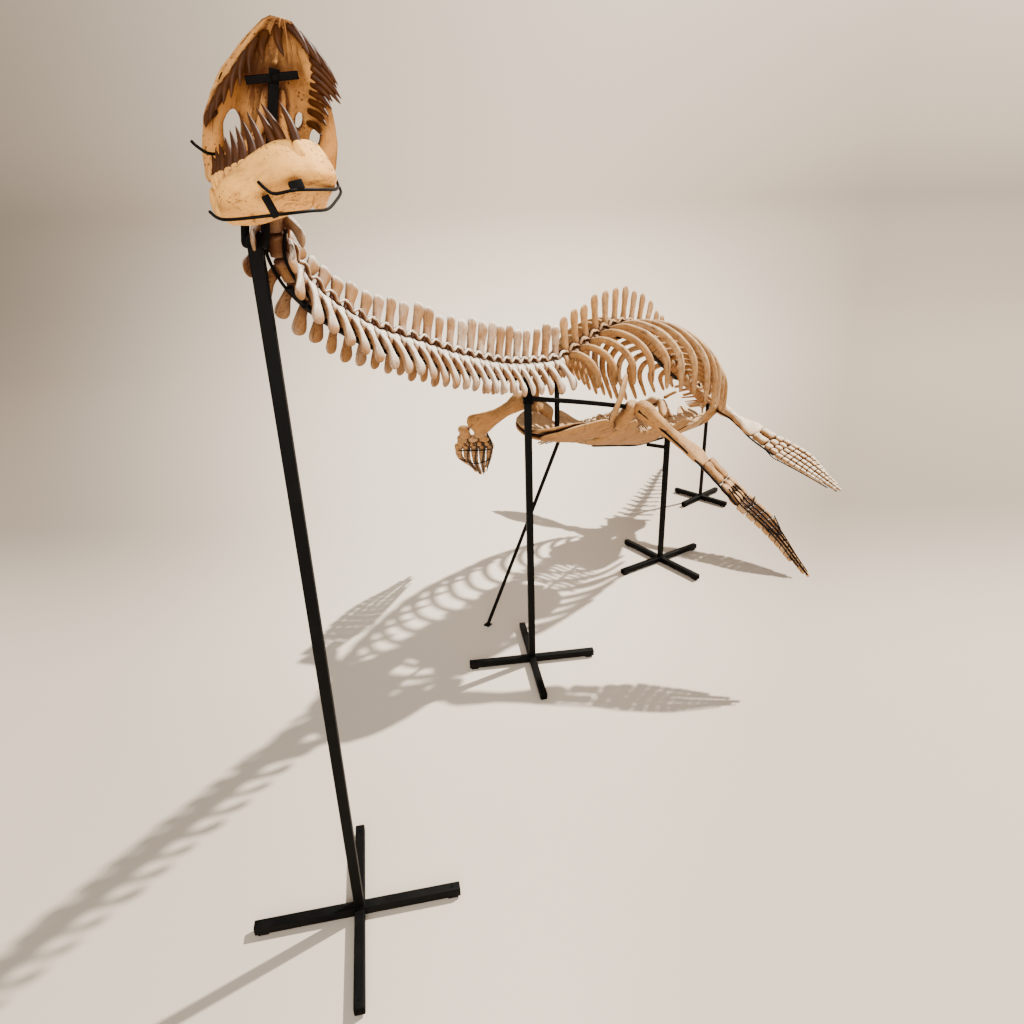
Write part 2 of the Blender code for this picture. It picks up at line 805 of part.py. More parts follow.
def mandible_node():
    line = jaw_centre_line()
    points = in_jaw([(m, w, -0.030) for m, w in line])
    reach = line[:, 0] / line[:, 0].max()
    tall = 0.026 + 0.014 * reach
    thick = 0.013 + 0.008 * reach
    pieces = [strut(points, tall, thick, JAW_UP, 6)]
    for side in (1, -1):
        knob = np.vstack([
            in_jaw([(0.012, side * JAW_HALF_WIDTH, -0.026)]),
            in_skull([(-0.010, side * 0.126, 0.015), (0.014, side * 0.126, 0.015)]),
        ])
        pieces.append(strut(knob, [0.017, 0.015, 0.013], [0.016, 0.015, 0.013], HEAD_LEFT))
    chin = []
    for m, wide, low, high in (
        (0.095, 0.094, -0.092, -0.050), (0.150, 0.112, -0.108, -0.036),
        (0.225, 0.112, -0.114, -0.014), (0.278, 0.090, -0.106, -0.002),
        (0.312, 0.050, -0.078, -0.008),
    ):
        middle = 0.5 * (low + high)
        chin.append(in_jaw([
            (m, -0.6 * wide, high), (m, 0.6 * wide, high), (m, wide, middle),
            (m, 0.55 * wide, low), (m, -0.55 * wide, low), (m, -wide, middle),
        ]))
    pieces.append(loft(chin))
    for k in range(12):
        f = k / 11
        m = np.interp(f, [0.0, 0.35, 0.7, 1.0], [0.110, 0.195, 0.272, 0.300])
        w = np.interp(f, [0.0, 0.35, 0.7, 1.0], [-0.120, -0.104, -0.048, 0.034])
        length = np.interp(f, [0.0, 0.3, 0.8, 1.0], [0.042, 0.066, 0.092, 0.100])
        length = length * random.uniform(0.92, 1.06)
        root = in_jaw([(m, w, -0.018)])[0]
        tip = in_jaw([(m + 0.20 * length, w - 0.42 * length, length)])[0]
        pieces.append(spike(root, tip, 0.0105, -0.06 * length * JAW_LEFT))
    bone("mandible", pieces, HEAD_BONE)
    seat("mandible", "skull")


# Joints of the paddles: where each one starts, bends and ends
PADDLES = {
    "fore_left": {
        "head": (-0.640, 0.345, 1.540), "elbow": (-0.750, 0.770, 1.205),
        "wrist": (-0.755, 0.985, 1.015), "tip": (-0.733, 1.405, 0.632),
        "bend": (0.0, 0.012, 0.020), "chord": (1.0, 0.0, 0.05),
        "sizes": (0.062, 0.098, 0.112, 0.125),
    },
    "fore_right": {
        "head": (-0.500, -0.315, 1.540), "elbow": (-0.400, -0.680, 1.318),
        "wrist": (-0.590, -0.800, 1.145), "tip": (-1.040, -1.085, 0.742),
        "bend": (0.0, -0.020, -0.010), "chord": (-0.548, 0.836, 0.0),
        "sizes": (0.062, 0.098, 0.118, 0.135),
    },
    "hind_left": {
        "head": (-2.640, 0.255, 1.080), "elbow": (-2.545, 0.640, 0.912),
        "wrist": (-2.490, 0.850, 0.820), "tip": (-2.330, 1.330, 0.612),
        "bend": (0.0, 0.0, 0.015), "chord": (0.94, 0.0, -0.34),
        "sizes": (0.056, 0.105, 0.118, 0.125),
    },
    "hind_right": {
        "head": (-2.640, -0.255, 1.080), "elbow": (-2.545, -0.640, 0.912),
        "wrist": (-2.490, -0.850, 0.820), "tip": (-2.330, -1.330, 0.612),
        "bend": (0.0, 0.0, 0.015), "chord": (0.94, 0.0, -0.34),
        "sizes": (0.056, 0.105, 0.118, 0.125),
    },
}


def socket_at(key):
    """Joint point of a paddle and the direction of its upper bone."""
    head = np.array(PADDLES[key]["head"])
    return head, unit(np.array(PADDLES[key]["elbow"]) - head)


# Girdles: bowl-shaped plates under the trunk
def belly(x, y):
    """Height of the belly plates over the floor at a plan point."""
    base = np.interp(
        x, [-3.0, -2.6, -2.1, -1.5, -0.7, -0.1, 0.1], [0.90, 0.87, 0.93, 1.03, 1.24, 1.42, 1.50]
    )
    return float(base + 1.9 * abs(y) ** 2 + 0.10 * abs(y))


def belly_points(side, plan):
    return [(x, side * y, belly(x, y)) for x, y in plan]


def shoulder_node(side):
    socket, outward = socket_at("fore_%s" % ("left" if side > 0 else "right"))
    edge = 0.5 * GAP
    coracoid = belly_points(side, (
        (-0.66, edge), (-0.62, 0.12), (-0.63, 0.24), (-0.82, 0.28), (-1.00, 0.22),
        (-1.22, 0.20), (-1.42, 0.27), (-1.56, 0.24), (-1.60, 0.10), (-1.52, edge),
    ))
    scapula = belly_points(side, (
        (-0.10, 0.02), (-0.06, 0.10), (-0.20, 0.20), (-0.44, 0.26), (-0.66, 0.27),
        (-0.68, 0.20), (-0.48, 0.16), (-0.50, 0.06), (-0.36, 0.012),
    ))
    up = (0.0, 0.0, 1.0)
    pieces = [
        plate(coracoid, (-1.05, side * 0.13, belly(-1.05, 0.13)), 0.046, up),
        plate(scapula, (-0.36, side * 0.13, belly(-0.36, 0.13)), 0.036, up),
    ]
    inner = np.array((-0.655, side * 0.235, belly(-0.655, 0.235)))
    pieces.append(strut(
        [inner, socket - 0.055 * outward, socket], [0.075, 0.060, 0.052], [0.036, 0.042, 0.044],
        (1.0, 0.0, 0.0), 6,
    ))
    blade_root = np.array((-0.50, side * 0.25, belly(-0.50, 0.25)))
    pieces.append(strut(
        [blade_root, blade_root + (-0.06, 0.03 * side, 0.12),
         blade_root + (-0.20, 0.01 * side, 0.25)],
        [0.050, 0.032, 0.022], [0.014, 0.011, 0.008], (1.0, 0.0, 0.0),
    ))
    return bone("shoulder_%s" % ("left" if side > 0 else "right"), pieces)


def pelvis_node(side):
    socket, outward = socket_at("hind_%s" % ("left" if side > 0 else "right"))
    edge = 0.5 * GAP
    pubis = belly_points(side, (
        (-2.02, edge), (-1.98, 0.12), (-2.10, 0.24), (-2.30, 0.25), (-2.44, 0.17),
        (-2.52, 0.20), (-2.56, 0.12), (-2.48, edge),
    ))
    ischium = belly_points(side, (
        (-2.56, edge), (-2.54, 0.16), (-2.64, 0.20), (-2.72, 0.13), (-2.90, 0.17),
        (-3.00, 0.10), (-2.94, edge),
    ))
    up = (0.0, 0.0, 1.0)
    pieces = [
        plate(pubis, (-2.26, side * 0.11, belly(-2.26, 0.11)), 0.040, up),
        plate(ischium, (-2.74, side * 0.08, belly(-2.74, 0.08)), 0.036, up),
    ]
    for x in (-2.50, -2.62):
        inner = np.array((x, side * 0.15, belly(x, 0.15)))
        pieces.append(strut(
            [inner, socket - 0.040 * outward, socket], [0.046, 0.046, 0.040],
            [0.026, 0.032, 0.034], (1.0, 0.0, 0.0), 6,
        ))
    tip, reach = sacral_process(side, TRUNK_COUNT - 2)
    top = tip + GAP * reach
    hip = socket - 0.030 * outward
    pieces.append(strut(
        [hip, 0.45 * hip + 0.55 * top + 0.02 * reach, top + 0.020 * reach, top],
        [0.030, 0.020, 0.022, 0.022], [0.020, 0.013, 0.012, 0.012], (1.0, 0.0, 0.0),
    ))
    return bone("pelvis_%s" % ("left" if side > 0 else "right"), pieces)


def clavicle_node():
    lift = 0.030
    outline = [
        (-0.035, 0.0), (-0.06, 0.10), (-0.16, 0.17), (-0.34, 0.19), (-0.29, 0.09), (-0.37, 0.0),
        (-0.29, -0.09), (-0.34, -0.19), (-0.16, -0.17), (-0.06, -0.10),
    ]
    points = [(x, y, belly(x, y) + lift) for x, y in outline]
    centre = (-0.15, 0.0, belly(-0.15, 0.0) + lift)
    bone("clavicles", [plate(points, centre, 0.028, (0.0, 0.0, 1.0))])
    seat("clavicles", "shoulder_left", "shoulder_right", away=(0.0, 0.0, 1.0))


def gastralia_node():
    """Belly ribs: rows of bent bars tied by bars that run back from row to row."""
    pieces = []
    for k in range(5):
        x = -1.630 - 0.078 * k
        reach = 0.27 - 0.010 * k
        bar = []
        for f in (-1.0, -0.5, 0.0, 0.5, 1.0):
            px = x - 0.13 * abs(f) ** 1.4
            bar.append((px, reach * f, belly(px, reach * f) + 0.006))
        pieces.append(strut(
            bar, [0.010, 0.015, 0.018, 0.015, 0.010], [0.008, 0.009, 0.010, 0.009, 0.008],
            (1.0, 0.0, 0.0),
        ))
    for y in (0.09, -0.09):
        tie = [(x, y, belly(x, y) + 0.004) for x in (-1.585, -1.83, -2.01)]
        pieces.append(strut(tie, 0.009, 0.008, (0.0, 1.0, 0.0)))
    bone("gastralia", pieces)
    seat("gastralia", "shoulder_left", "shoulder_right", "pelvis_left", "pelvis_right")


# Paddles
def paddle_axes(root, wrist, chord):
    direction = unit(np.asarray(wrist) - np.asarray(root))
    chord = unit(np.asarray(chord) - np.dot(chord, direction) * direction)
    return direction, chord, np.cross(direction, chord)


def upper_bone(name, head, elbow, chord, head_size, end_size):
    """Humerus or femur: knob at the socket, narrow shaft and a wide flat end."""
    head = np.asarray(head, float)
    elbow = np.asarray(elbow, float)
    _, across, _ = paddle_axes(head, elbow, chord)
    stages = (0.0, 0.10, 0.22, 0.45, 0.70, 0.90, 1.0)
    points = [head + (elbow - head) * t for t in stages]
    halves = [head_size * 0.9, head_size, head_size * 0.85, head_size * 0.75,
              end_size * 0.78, end_size, end_size * 0.92]
    thick = [head_size * 0.8, head_size * 0.92, head_size * 0.72, head_size * 0.55,
             head_size * 0.50, head_size * 0.42, head_size * 0.36]
    return bone(name, [strut(points, halves, thick, across, 8)])


def forearm(name, elbow, wrist, chord, span, fan, thick):
    """Two forearm bones and two rows of wrist bones, fitted edge to edge."""
    elbow = np.asarray(elbow, float)
    wrist = np.asarray(wrist, float)
    direction, across, _ = paddle_axes(elbow, wrist, chord)
    length = np.linalg.norm(wrist - elbow)
    pieces = []
    for lead in (0.50, -0.50):
        start = elbow + lead * span * across
        stop = elbow + 0.52 * length * direction + lead * (0.6 * span + 0.4 * fan) * across
        size = 0.54 * span
        pieces.append(strut(
            [start, 0.5 * (start + stop), stop], [size, 0.78 * size, size],
            [thick, 0.8 * thick, 0.9 * thick], across,
        ))
    for at, many in ((0.60, 3), (0.86, 3)):
        width = span + (fan - span) * at
        for k in range(many):
            offset = (k + 0.5) / many * 2.0 - 1.0
            centre = elbow + at * length * direction + offset * width * across
            half = (0.15 + 0.02 * (k % 2)) * length
            size = 1.05 * width / many
            pieces.append(strut(
                [centre - half * direction, centre + half * direction], [size, 0.92 * size],
                [0.80 * thick, 0.70 * thick], across,
            ))
    return bone(name, pieces)


def digits(name, wrist, tip, bend, chord, fan, thick):
    """Five fingers of many short bones, side by side at the wrist, tapering to the tip."""
    wrist = np.asarray(wrist, float)
    tip = np.asarray(tip, float)
    direction, across, _ = paddle_axes(wrist, tip, chord)
    length = np.linalg.norm(tip - wrist)
    pieces = []
    reaches = (0.70, 0.90, 1.00, 0.94, 0.76)
    joints = (3, 4, 5, 4, 3)
    for k in range(5):
        offset = (k - 2) / 2.0
        size = fan * 0.245
        start = wrist - 0.02 * length * direction + offset * 0.80 * fan * across
        stop = wrist + reaches[k] * length * direction + (offset * 0.42 * fan) * across
        middle = 0.5 * (start + stop) + np.asarray(bend, float) + offset * 0.16 * fan * across
        count = 2 * joints[k] + 1
        route = along([start, middle, stop], count)
        f = np.linspace(0.0, 1.0, count)
        pulse = np.where(np.arange(count) % 2 == 0, 1.0, 0.62)
        pulse[0] = 1.0
        taper = 1.0 - 0.72 * f
        halves = size * pulse * taper
        halves[0] = size * 1.05
        halves[-1] = size * 0.16
        deep = thick * np.maximum(pulse, 0.75) * (1.0 - 0.65 * f)
        pieces.append(strut(route, halves, deep, across))
    return bone(name, pieces)


def paddle_nodes(key):
    limb = PADDLES[key]
    head_size, end_size, span, fan = limb["sizes"]
    socket, outward = socket_at(key)
    head = socket + GAP * outward
    elbow = np.array(limb["elbow"])
    wrist = np.array(limb["wrist"])
    tip = np.array(limb["tip"])
    upper = "humerus" if key.startswith("fore") else "femur"
    side = key.split("_")[1]
    upper_bone("%s_%s" % (upper, side), head, elbow, limb["chord"], head_size, end_size)
    start = elbow - 0.03 * unit(wrist - elbow)
    forearm("lower_%s" % key, start, wrist, limb["chord"], 0.92 * end_size, span, 0.026)
    seat("lower_%s" % key, "%s_%s" % (upper, side))
    digits("digits_%s" % key, wrist, tip, limb["bend"], limb["chord"], fan, 0.020)
    direction = unit(tip - elbow)
    trim("lower_%s" % key, wrist, direction)
    trim("digits_%s" % key, wrist + GAP * direction, -direction)


# Steel stands
def foot_node(key):
    centre, turn, reach, _, _ = STANDS[key]
    half = 0.5 * FOOT_TUBE
    outline = []
    for quarter in range(4):
        c, d = ((1, 0), (0, 1), (-1, 0), (0, -1))[quarter]
        for u, v in ((half, -half), (reach, -half), (reach, half)):
            outline.append((c * u - d * v, d * u + c * v))
    rings = [
        np.array([(u, v, z) for u, v in outline]) for z in (FOOT_PAD, FOOT_PAD + FOOT_TUBE)
    ]
    pieces = [turned(prism(rings), centre, turn)]
    for quarter in range(4):
        pad = block((reach - 0.052, 0.004 - half, 0.0), (reach - 0.010, half - 0.004, FOOT_PAD + 0.004))
        pieces.append(turned(turned(pad, (0.0, 0.0), 90 * quarter), centre, turn))
    steel("stand_foot_%s" % key, pieces)


def rod_node(key):
    centre, turn, _, top, tube = STANDS[key]
    half = 0.5 * tube
    rod = block((-half, -half, FOOT_PAD + FOOT_TUBE + GAP), (half, half, top))
    steel("stand_rod_%s" % key, [turned(rod, centre, turn)])


def prop_node():
    foot = np.array((-0.215, -0.484, 0.0))
    head = np.array((-0.430, -0.050, belly(-0.43, 0.05)))
    half = 0.012
    rings = []
    for point in (foot, head):
        rings.append(np.array([
            point + (half, half, 0.0), point + (-half, half, 0.0),
            point + (-half, -half, 0.0), point + (half, -half, 0.0),
        ]))
    shoe = block((foot[0] - 0.022, foot[1] - 0.022, 0.0), (foot[0] + 0.022, foot[1] + 0.022, 0.008))
    steel("stand_prop", [loft(rings), shoe])
    seat("stand_prop", "shoulder_right", away=(0.0, 0.0, -1.0))


def under_rail(name, stations, half_width, thick):
    """Flat rail along the underside of the centra, touching at the vertebra joints."""
    rings = []
    for k, s in enumerate(stations):
        point, _, side, up = spine_frame(s)
        top = 0.866 * centrum_radius(s) + GAP
        rings.append(np.array([
            point + u * side - v * up
            for u, v in ((half_width, top), (-half_width, top),
                         (-half_width, top + thick), (half_width, top + thick))
        ]))
    rings[0] = rings[0] + GAP * unit(rings[1][0] - rings[0][0])
    steel(name, [loft(rings)])


def rail_nodes():
    """Flat rails under the neck, the back and the belly plates."""
    for index, (first, last) in enumerate(((3, 11), (11, 18), (18, 22)), 1):
        under_rail(
            "stand_neck_rail_%d" % index,
            [neck_joint(k) for k in range(first, last + 1)], 0.009, 0.014,
        )
    pitch = (TRUNK_ARC - NECK_ARC) / TRUNK_COUNT
    under_rail("stand_back_rail", [NECK_ARC + k * pitch for k in range(6, 17)], 0.012, 0.016)
    keel = [(x, 0.0, belly(x, 0.0) - 0.022) for x in (-0.80, -1.15, -1.50, -1.85, -2.20, -2.40)]
    steel("stand_belly_rail", [strut(keel, 0.012, 0.010, (0.0, 1.0, 0.0))])
    seat("stand_belly_rail", "shoulder_left", "shoulder_right", "gastralia", "pelvis_left",
         "pelvis_right", away=(0.0, 0.0, -1.0))


def head_steel():
    left = (0.0, 1.0, 0.0)
    x, y = STANDS["head"][0]
    base = np.array((x, y, 2.474))
    neck_hold = spine_point(0.075)
    pieces = [
        strut([base, base + (-0.006, 0.0, 0.022), neck_hold], [0.026, 0.022, 0.012],
              [0.026, 0.018, 0.012], left),
    ]
    for side in (1, -1):
        out = np.array((0.0, side * 0.040, 0.0))
        pieces.append(strut(
            [base + 0.3 * out + (0.0, 0.0, 0.008), base + out + (0.0, 0.0, 0.014),
             base + out + (-0.010, 0.0, 0.062)],
            0.008, 0.010, left,
        ))
    steel("stand_head_fork", pieces)
    seat("stand_head_fork", "neck_1", away=base - neck_hold)
    seat("stand_head_fork", "stand_rod_head")

    bar = in_skull([(0.002, 0.000, 0.010), (0.080, -0.001, 0.012), (0.274, -0.004, 0.034)])
    cross = in_skull([(0.240, -0.066, 0.030), (0.278, 0.048, 0.030)])
    steel("stand_palate_bar", [
        strut(bar, 0.010, 0.008, HEAD_LEFT), strut(cross, 0.008, 0.012, SNOUT),
    ])
    verts, faces = loft(skull_rings())
    subtract(NODES["stand_palate_bar"], mesh_object("room", (verts + 1.2 * GAP * FACE, faces)))
    largest_surface(NODES["stand_palate_bar"])

    ring = in_jaw([
        (0.050, -0.138, -0.010), (0.080, -0.130, -0.070), (0.130, -0.090, -0.104),
        (0.150, 0.0, -0.108), (0.130, 0.090, -0.104), (0.080, 0.130, -0.070), (0.050, 0.138, -0.010),
    ])
    steel("stand_jaw_wire", [strut(along(ring, 9), 0.005, 0.005, FACE)])
    seat("stand_jaw_wire", "mandible")


def shoulder_steel():
    start = np.array((0.0, 0.0, 1.668))
    for name, side in (("left", 1), ("right", -1)):
        socket, outward = socket_at("fore_%s" % name)
        socket = socket - 0.055 * outward + (0.020, 0.0, 0.006)
        steel("stand_shoulder_bar_%s" % name, [
            strut([start, 0.5 * (start + socket) + (0.0, 0.0, 0.004), socket],
                  0.009, 0.012, (0.0, 0.0, 1.0)),
        ])
    for name in ("left", "right"):
        seat("stand_shoulder_bar_%s" % name, "stand_rod_shoulder")
        seat("stand_shoulder_bar_%s" % name, "shoulder_%s" % name, away=(0.0, 0.0, 1.0))
    seat("stand_shoulder_bar_right", "stand_shoulder_bar_left")
    top = np.array((-0.320, 0.0, 1.768))
    low = (top[0], 0.0, belly(top[0], 0.0) + 0.030)
    steel("stand_keel_bar", [strut([top, low], 0.018, 0.008, (1.0, 0.0, 0.0))])
    seat("stand_keel_bar", "neck_4", away=(0.0, 0.0, -1.0))
    seat("stand_keel_bar", "clavicles", away=(0.0, 0.0, 1.0))


def belly_arm():
    x, y = STANDS["belly"][0]
    level = belly(x, 0.0) - 0.042
    steel("stand_belly_arm", [block((x - 0.012, -0.014, level - 0.012), (x + 0.012, y, level + 0.016))])
    seat("stand_belly_arm", "stand_rod_belly", "stand_belly_rail")


def centre_model():
    """Move everything so that the middle of the footprint is the origin."""
    corners = [v.co for obj in NODES.values() for v in obj.data.vertices]
    middle_x = 0.5 * (min(c.x for c in corners) + max(c.x for c in corners))
    middle_y = 0.5 * (min(c.y for c in corners) + max(c.y for c in corners))
    for obj in NODES.values():
        obj.data.transform(Matrix.Translation((-middle_x, -middle_y, 0.0)))


def build():
    for obj in list(bpy.data.objects):
        bpy.data.objects.remove(obj)

    skull_node()
    mandible_node()
    for index, (first, last) in enumerate(((0, 8), (8, 15), (15, 21), (21, NECK_COUNT)), 1):
        neck_node(index, first, last)
    for side in (1, -1):
        for index, (first, last) in enumerate(((0, 7), (7, 14), (14, TRUNK_COUNT)), 1):
            trunk_node(side, index, first, last)
    for index, (first, last) in enumerate(((0, 6), (6, 12), (12, TAIL_COUNT)), 1):
        tail_node(index, first, last)
    for side in (1, -1):
        shoulder_node(side)
        pelvis_node(side)
    clavicle_node()
    gastralia_node()
    for key in PADDLES:
        paddle_nodes(key)
    for name in ("left", "right"):
        seat("humerus_%s" % name, "shoulder_%s" % name, away=socket_at("fore_%s" % name)[1])
    for key in STANDS:
        foot_node(key)
        rod_node(key)
    seat("stand_rod_shoulder", "neck_4", away=(0.0, 0.0, -1.0))
    seat("stand_rod_tail", "tail_1", away=(0.0, 0.0, -1.0))
    seat("gastralia", "stand_rod_belly")
    rail_nodes()
    seat("stand_neck_rail_3", "stand_rod_shoulder")
    prop_node()
    head_steel()
    shoulder_steel()
    belly_arm()
    centre_model()


build()
print("nodes", len(NODES), "triangles", sum(len(o.data.polygons) for o in NODES.values()))
for node_name, node in NODES.items():
    print("%-26s %5d" % (node_name, len(node.data.polygons)))
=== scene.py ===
# %% [markdown]
# # A plesiosaur skeleton on its museum mount
#
# The object is a life-size cast of a long-necked sea reptile, posed as if it swam. The bones are
# tan where they turn to us and cream where the light falls on them, the head is ochre with dark
# teeth, and everything is carried by black steel: four rods on crossed feet, a leaning prop, flat
# rails along the neck and back, and thin wires that hold the finger bones together.
#
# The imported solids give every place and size. Each of them could keep its facets and just get a
# better material, but bones are rounded and worn all over, so each solid is replaced here by
# finer surfaces worked out with numpy along the same lines.

import math

import bpy
import numpy as np
from mathutils import Euler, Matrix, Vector


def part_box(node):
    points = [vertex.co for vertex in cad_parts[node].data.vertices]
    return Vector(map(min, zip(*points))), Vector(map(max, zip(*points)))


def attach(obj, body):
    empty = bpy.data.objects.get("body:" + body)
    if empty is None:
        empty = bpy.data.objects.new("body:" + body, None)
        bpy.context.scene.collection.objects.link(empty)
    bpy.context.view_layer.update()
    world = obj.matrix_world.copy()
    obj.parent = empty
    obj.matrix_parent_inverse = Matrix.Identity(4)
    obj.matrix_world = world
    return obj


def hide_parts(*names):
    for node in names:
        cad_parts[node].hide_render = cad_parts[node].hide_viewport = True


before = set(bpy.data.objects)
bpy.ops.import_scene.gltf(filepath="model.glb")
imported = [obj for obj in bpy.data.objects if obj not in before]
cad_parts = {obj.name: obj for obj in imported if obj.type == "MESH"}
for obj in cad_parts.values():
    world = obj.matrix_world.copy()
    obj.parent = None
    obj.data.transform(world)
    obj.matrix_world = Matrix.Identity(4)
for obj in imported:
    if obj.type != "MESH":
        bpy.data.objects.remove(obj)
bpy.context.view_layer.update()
chance = np.random.default_rng(31)

# %% [markdown]
# ## Where things are
#
# All places below are measured from the middle of the foot under the shoulders, in metres, with
# +X towards the head and +Y to the animal's left. The foot's own box says where that point lies
# in the model, so the numbers stay true if the whole mount is shifted.

# %% The plan origin and the backbone's route
foot_low, foot_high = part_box("stand_foot_shoulder")
PLAN_ORIGIN = np.array([0.5 * (foot_low.x + foot_high.x), 0.5 * (foot_low.y + foot_high.y), 0.0])
AHEAD = np.array((1.0, 0.0, 0.0))
UPRIGHT = np.array((0.0, 0.0, 1.0))
JOINT_GAP = 0.0003

SPINE_ROUTE = (
    (1.755, 0.310, 2.575), (1.735, 0.286, 2.500), (1.694, 0.276, 2.410), (1.604, 0.261, 2.325),
    (1.485, 0.242, 2.255), (1.325, 0.216, 2.180), (1.090, 0.178, 2.105), (0.785, 0.128, 2.005),
    (0.320, 0.052, 1.880), (-0.060, 0.000, 1.815), (-0.250, 0.000, 1.797), (-0.356, 0.000, 1.800),
    (-0.600, 0.000, 1.835), (-0.865, 0.000, 1.880), (-1.162, 0.000, 1.880), (-1.500, 0.000, 1.806),
    (-1.797, 0.000, 1.652), (-2.253, 0.000, 1.425), (-2.795, 0.000, 1.156), (-2.950, 0.000, 1.064),
    (-3.060, 0.000, 1.005), (-3.500, -0.140, 0.850), (-4.000, -0.300, 0.730),
    (-4.430, -0.430, 0.620),
)
NECK_END_X = -0.356
TRUNK_END_X = -2.900
NECK_COUNT = 26
TRUNK_COUNT = 21
TAIL_COUNT = 17
RIB_FIRST = 1
RIB_LAST = 17
print("plan origin", PLAN_ORIGIN.round(4))

# %% [markdown]
# ## Curves
#
# A bone follows a line, so the first helpers draw lines. One could use Blender's own curve
# objects, but arrays can be measured and reused: the same backbone line places vertebrae, ribs
# and rails.

# %% Lines through points
def unit(vectors):
    """Each vector divided by its own length."""
    vectors = np.asarray(vectors, float)
    return vectors / np.linalg.norm(vectors, axis=-1, keepdims=True)


def smooth_route(points, per_span=24):
    """Catmull-Rom curve: each span is a cubic whose end slopes run from neighbour to neighbour."""
    points = np.asarray(points, float)
    padded = np.vstack([2 * points[0] - points[1], points, 2 * points[-1] - points[-2]])
    t = np.linspace(0.0, 1.0, per_span, endpoint=False)[None, :, None]
    a, b, c, d = (padded[k:len(padded) - 3 + k, None, :] for k in range(4))
    spans = (
        b + 0.5 * t * (c - a) + t ** 2 * (a - 2.5 * b + 2 * c - 0.5 * d)
        + t ** 3 * (1.5 * b - 0.5 * a - 1.5 * c + 0.5 * d)
    )
    return np.vstack([spans.reshape(-1, 3), points[-1:]])


def arc_lengths(points):
    """Distance travelled along a line at each of its points."""
    return np.concatenate([[0.0], np.cumsum(np.linalg.norm(np.diff(points, axis=0), axis=1))])


def on_line(points, arc, s):
    """Points of a line at the distances s, read between its own points."""
    return np.stack([np.interp(s, arc, points[:, i]) for i in range(3)], axis=-1)


def read(table, x):
    """Value at x in a table of (place, value) pairs, straight between them."""
    return np.interp(x, *np.transpose(table))


def along_route(points, shares):
    """Points of the smooth curve through the given ones, at shares of its length."""
    line = smooth_route(points)
    arc = arc_lengths(line)
    return on_line(line, arc, shares * arc[-1])


SPINE_LINE = smooth_route(SPINE_ROUTE)
SPINE_ARC = arc_lengths(SPINE_LINE)
NECK_ARC, TRUNK_ARC = (
    float(np.interp(-x, -SPINE_LINE[:, 0], SPINE_ARC)) for x in (NECK_END_X, TRUNK_END_X)
)
TAIL_ARC = float(SPINE_ARC[-1])
TRUNK_PITCH = (TRUNK_ARC - NECK_ARC) / TRUNK_COUNT
print("lengths of neck, trunk and tail", np.diff([0.0, NECK_ARC, TRUNK_ARC, TAIL_ARC]).round(3))


# %% The backbone's point, directions and sizes at any distance from the head
def neck_joint(k):
    """Distance where neck vertebra k starts; each vertebra is longer than the last."""
    share = np.asarray(k) / NECK_COUNT
    return NECK_ARC * (0.70 * share + 0.30 * share ** 2)


def spine_at(s):
    return on_line(SPINE_LINE, SPINE_ARC, s)


def spine_frame(s):
    """Point, forward, left and up; forward is the chord over two steps, left is level."""
    step = 0.02
    forward = unit(spine_at(s - step) - spine_at(s + step))
    left = unit(np.cross((0.0, 0.0, 1.0), forward))
    return spine_at(s), forward, left, np.cross(forward, left)


RADIUS_TABLE = (
    (0.0, 0.034), (0.5, 0.036), (1.3, 0.040), (NECK_ARC, 0.047), (TRUNK_ARC - 0.8, 0.052),
    (TRUNK_ARC, 0.046), (TAIL_ARC, 0.011),
)
HEIGHT_TABLE = (
    (0.0, 0.085), (0.4, 0.112), (0.9, 0.162), (1.5, 0.212), (NECK_ARC, 0.232), (3.1, 0.262),
    (TRUNK_ARC - 0.8, 0.245), (TRUNK_ARC, 0.190), (TAIL_ARC, 0.020),
)


def centrum_radius(s):
    return read(RADIUS_TABLE, s)


def joint_at(s):
    """What a bone needs to hang on the backbone: its point and directions, and the spool's radius."""
    return *spine_frame(s), float(centrum_radius(s))


def spine_height(s):
    return float(read(HEIGHT_TABLE, s))


# %% [markdown]
# ## Surfaces
#
# A bone could be sculpted, or built from metaballs. Here it is an oval carried along a line: the
# two half widths change along the way, and close to nothing at both ends, so the end is domed.
# Flat bones and the skull are shells between two grids of points. A pile gathers all the bones of
# one piece, makes one mesh of them, and then pushes the skin in and out a little, because no real
# bone is as even as a formula.

# %% Grids for bones
def stations(count):
    """Places from 0 to 1 that crowd towards both ends, as half a sine does."""
    return 0.5 + 0.5 * np.sin(np.linspace(-0.5 * math.pi, 0.5 * math.pi, count))


def dome(t, power):
    """1 along the middle, falling to 0 at both ends: the root of 1 minus a power of |2t - 1|."""
    return np.sqrt(np.clip(1.0 - np.abs(2.0 * t - 1.0) ** power, 0.0, 1.0)) + 0.02


def carried(path, half_a, half_b, axis, sides, corner=1.0):
    """Oval carried along a path: path + a cos(angle) first + b sin(angle) second. First is the
    axis made square to the path, second is square to both. Cosine and sine raised to a corner
    power below 1 fill the oval out towards a rectangle."""
    tangent = unit(np.gradient(path, axis=0))
    axis = np.broadcast_to(np.asarray(axis, float), path.shape)
    first = unit(axis - np.sum(axis * tangent, axis=1, keepdims=True) * tangent)
    second = np.cross(tangent, first)
    angle = (np.arange(sides) + 0.5) * 2.0 * math.pi / sides
    across = np.sign(np.cos(angle)) * np.abs(np.cos(angle)) ** corner
    rise = np.sign(np.sin(angle)) * np.abs(np.sin(angle)) ** corner
    half_a = np.broadcast_to(half_a, len(path))[:, None, None]
    half_b = np.broadcast_to(half_b, len(path))[:, None, None]
    return (
        path[:, None, :] + half_a * across[None, :, None] * first[:, None, :]
        + half_b * rise[None, :, None] * second[:, None, :]
    )


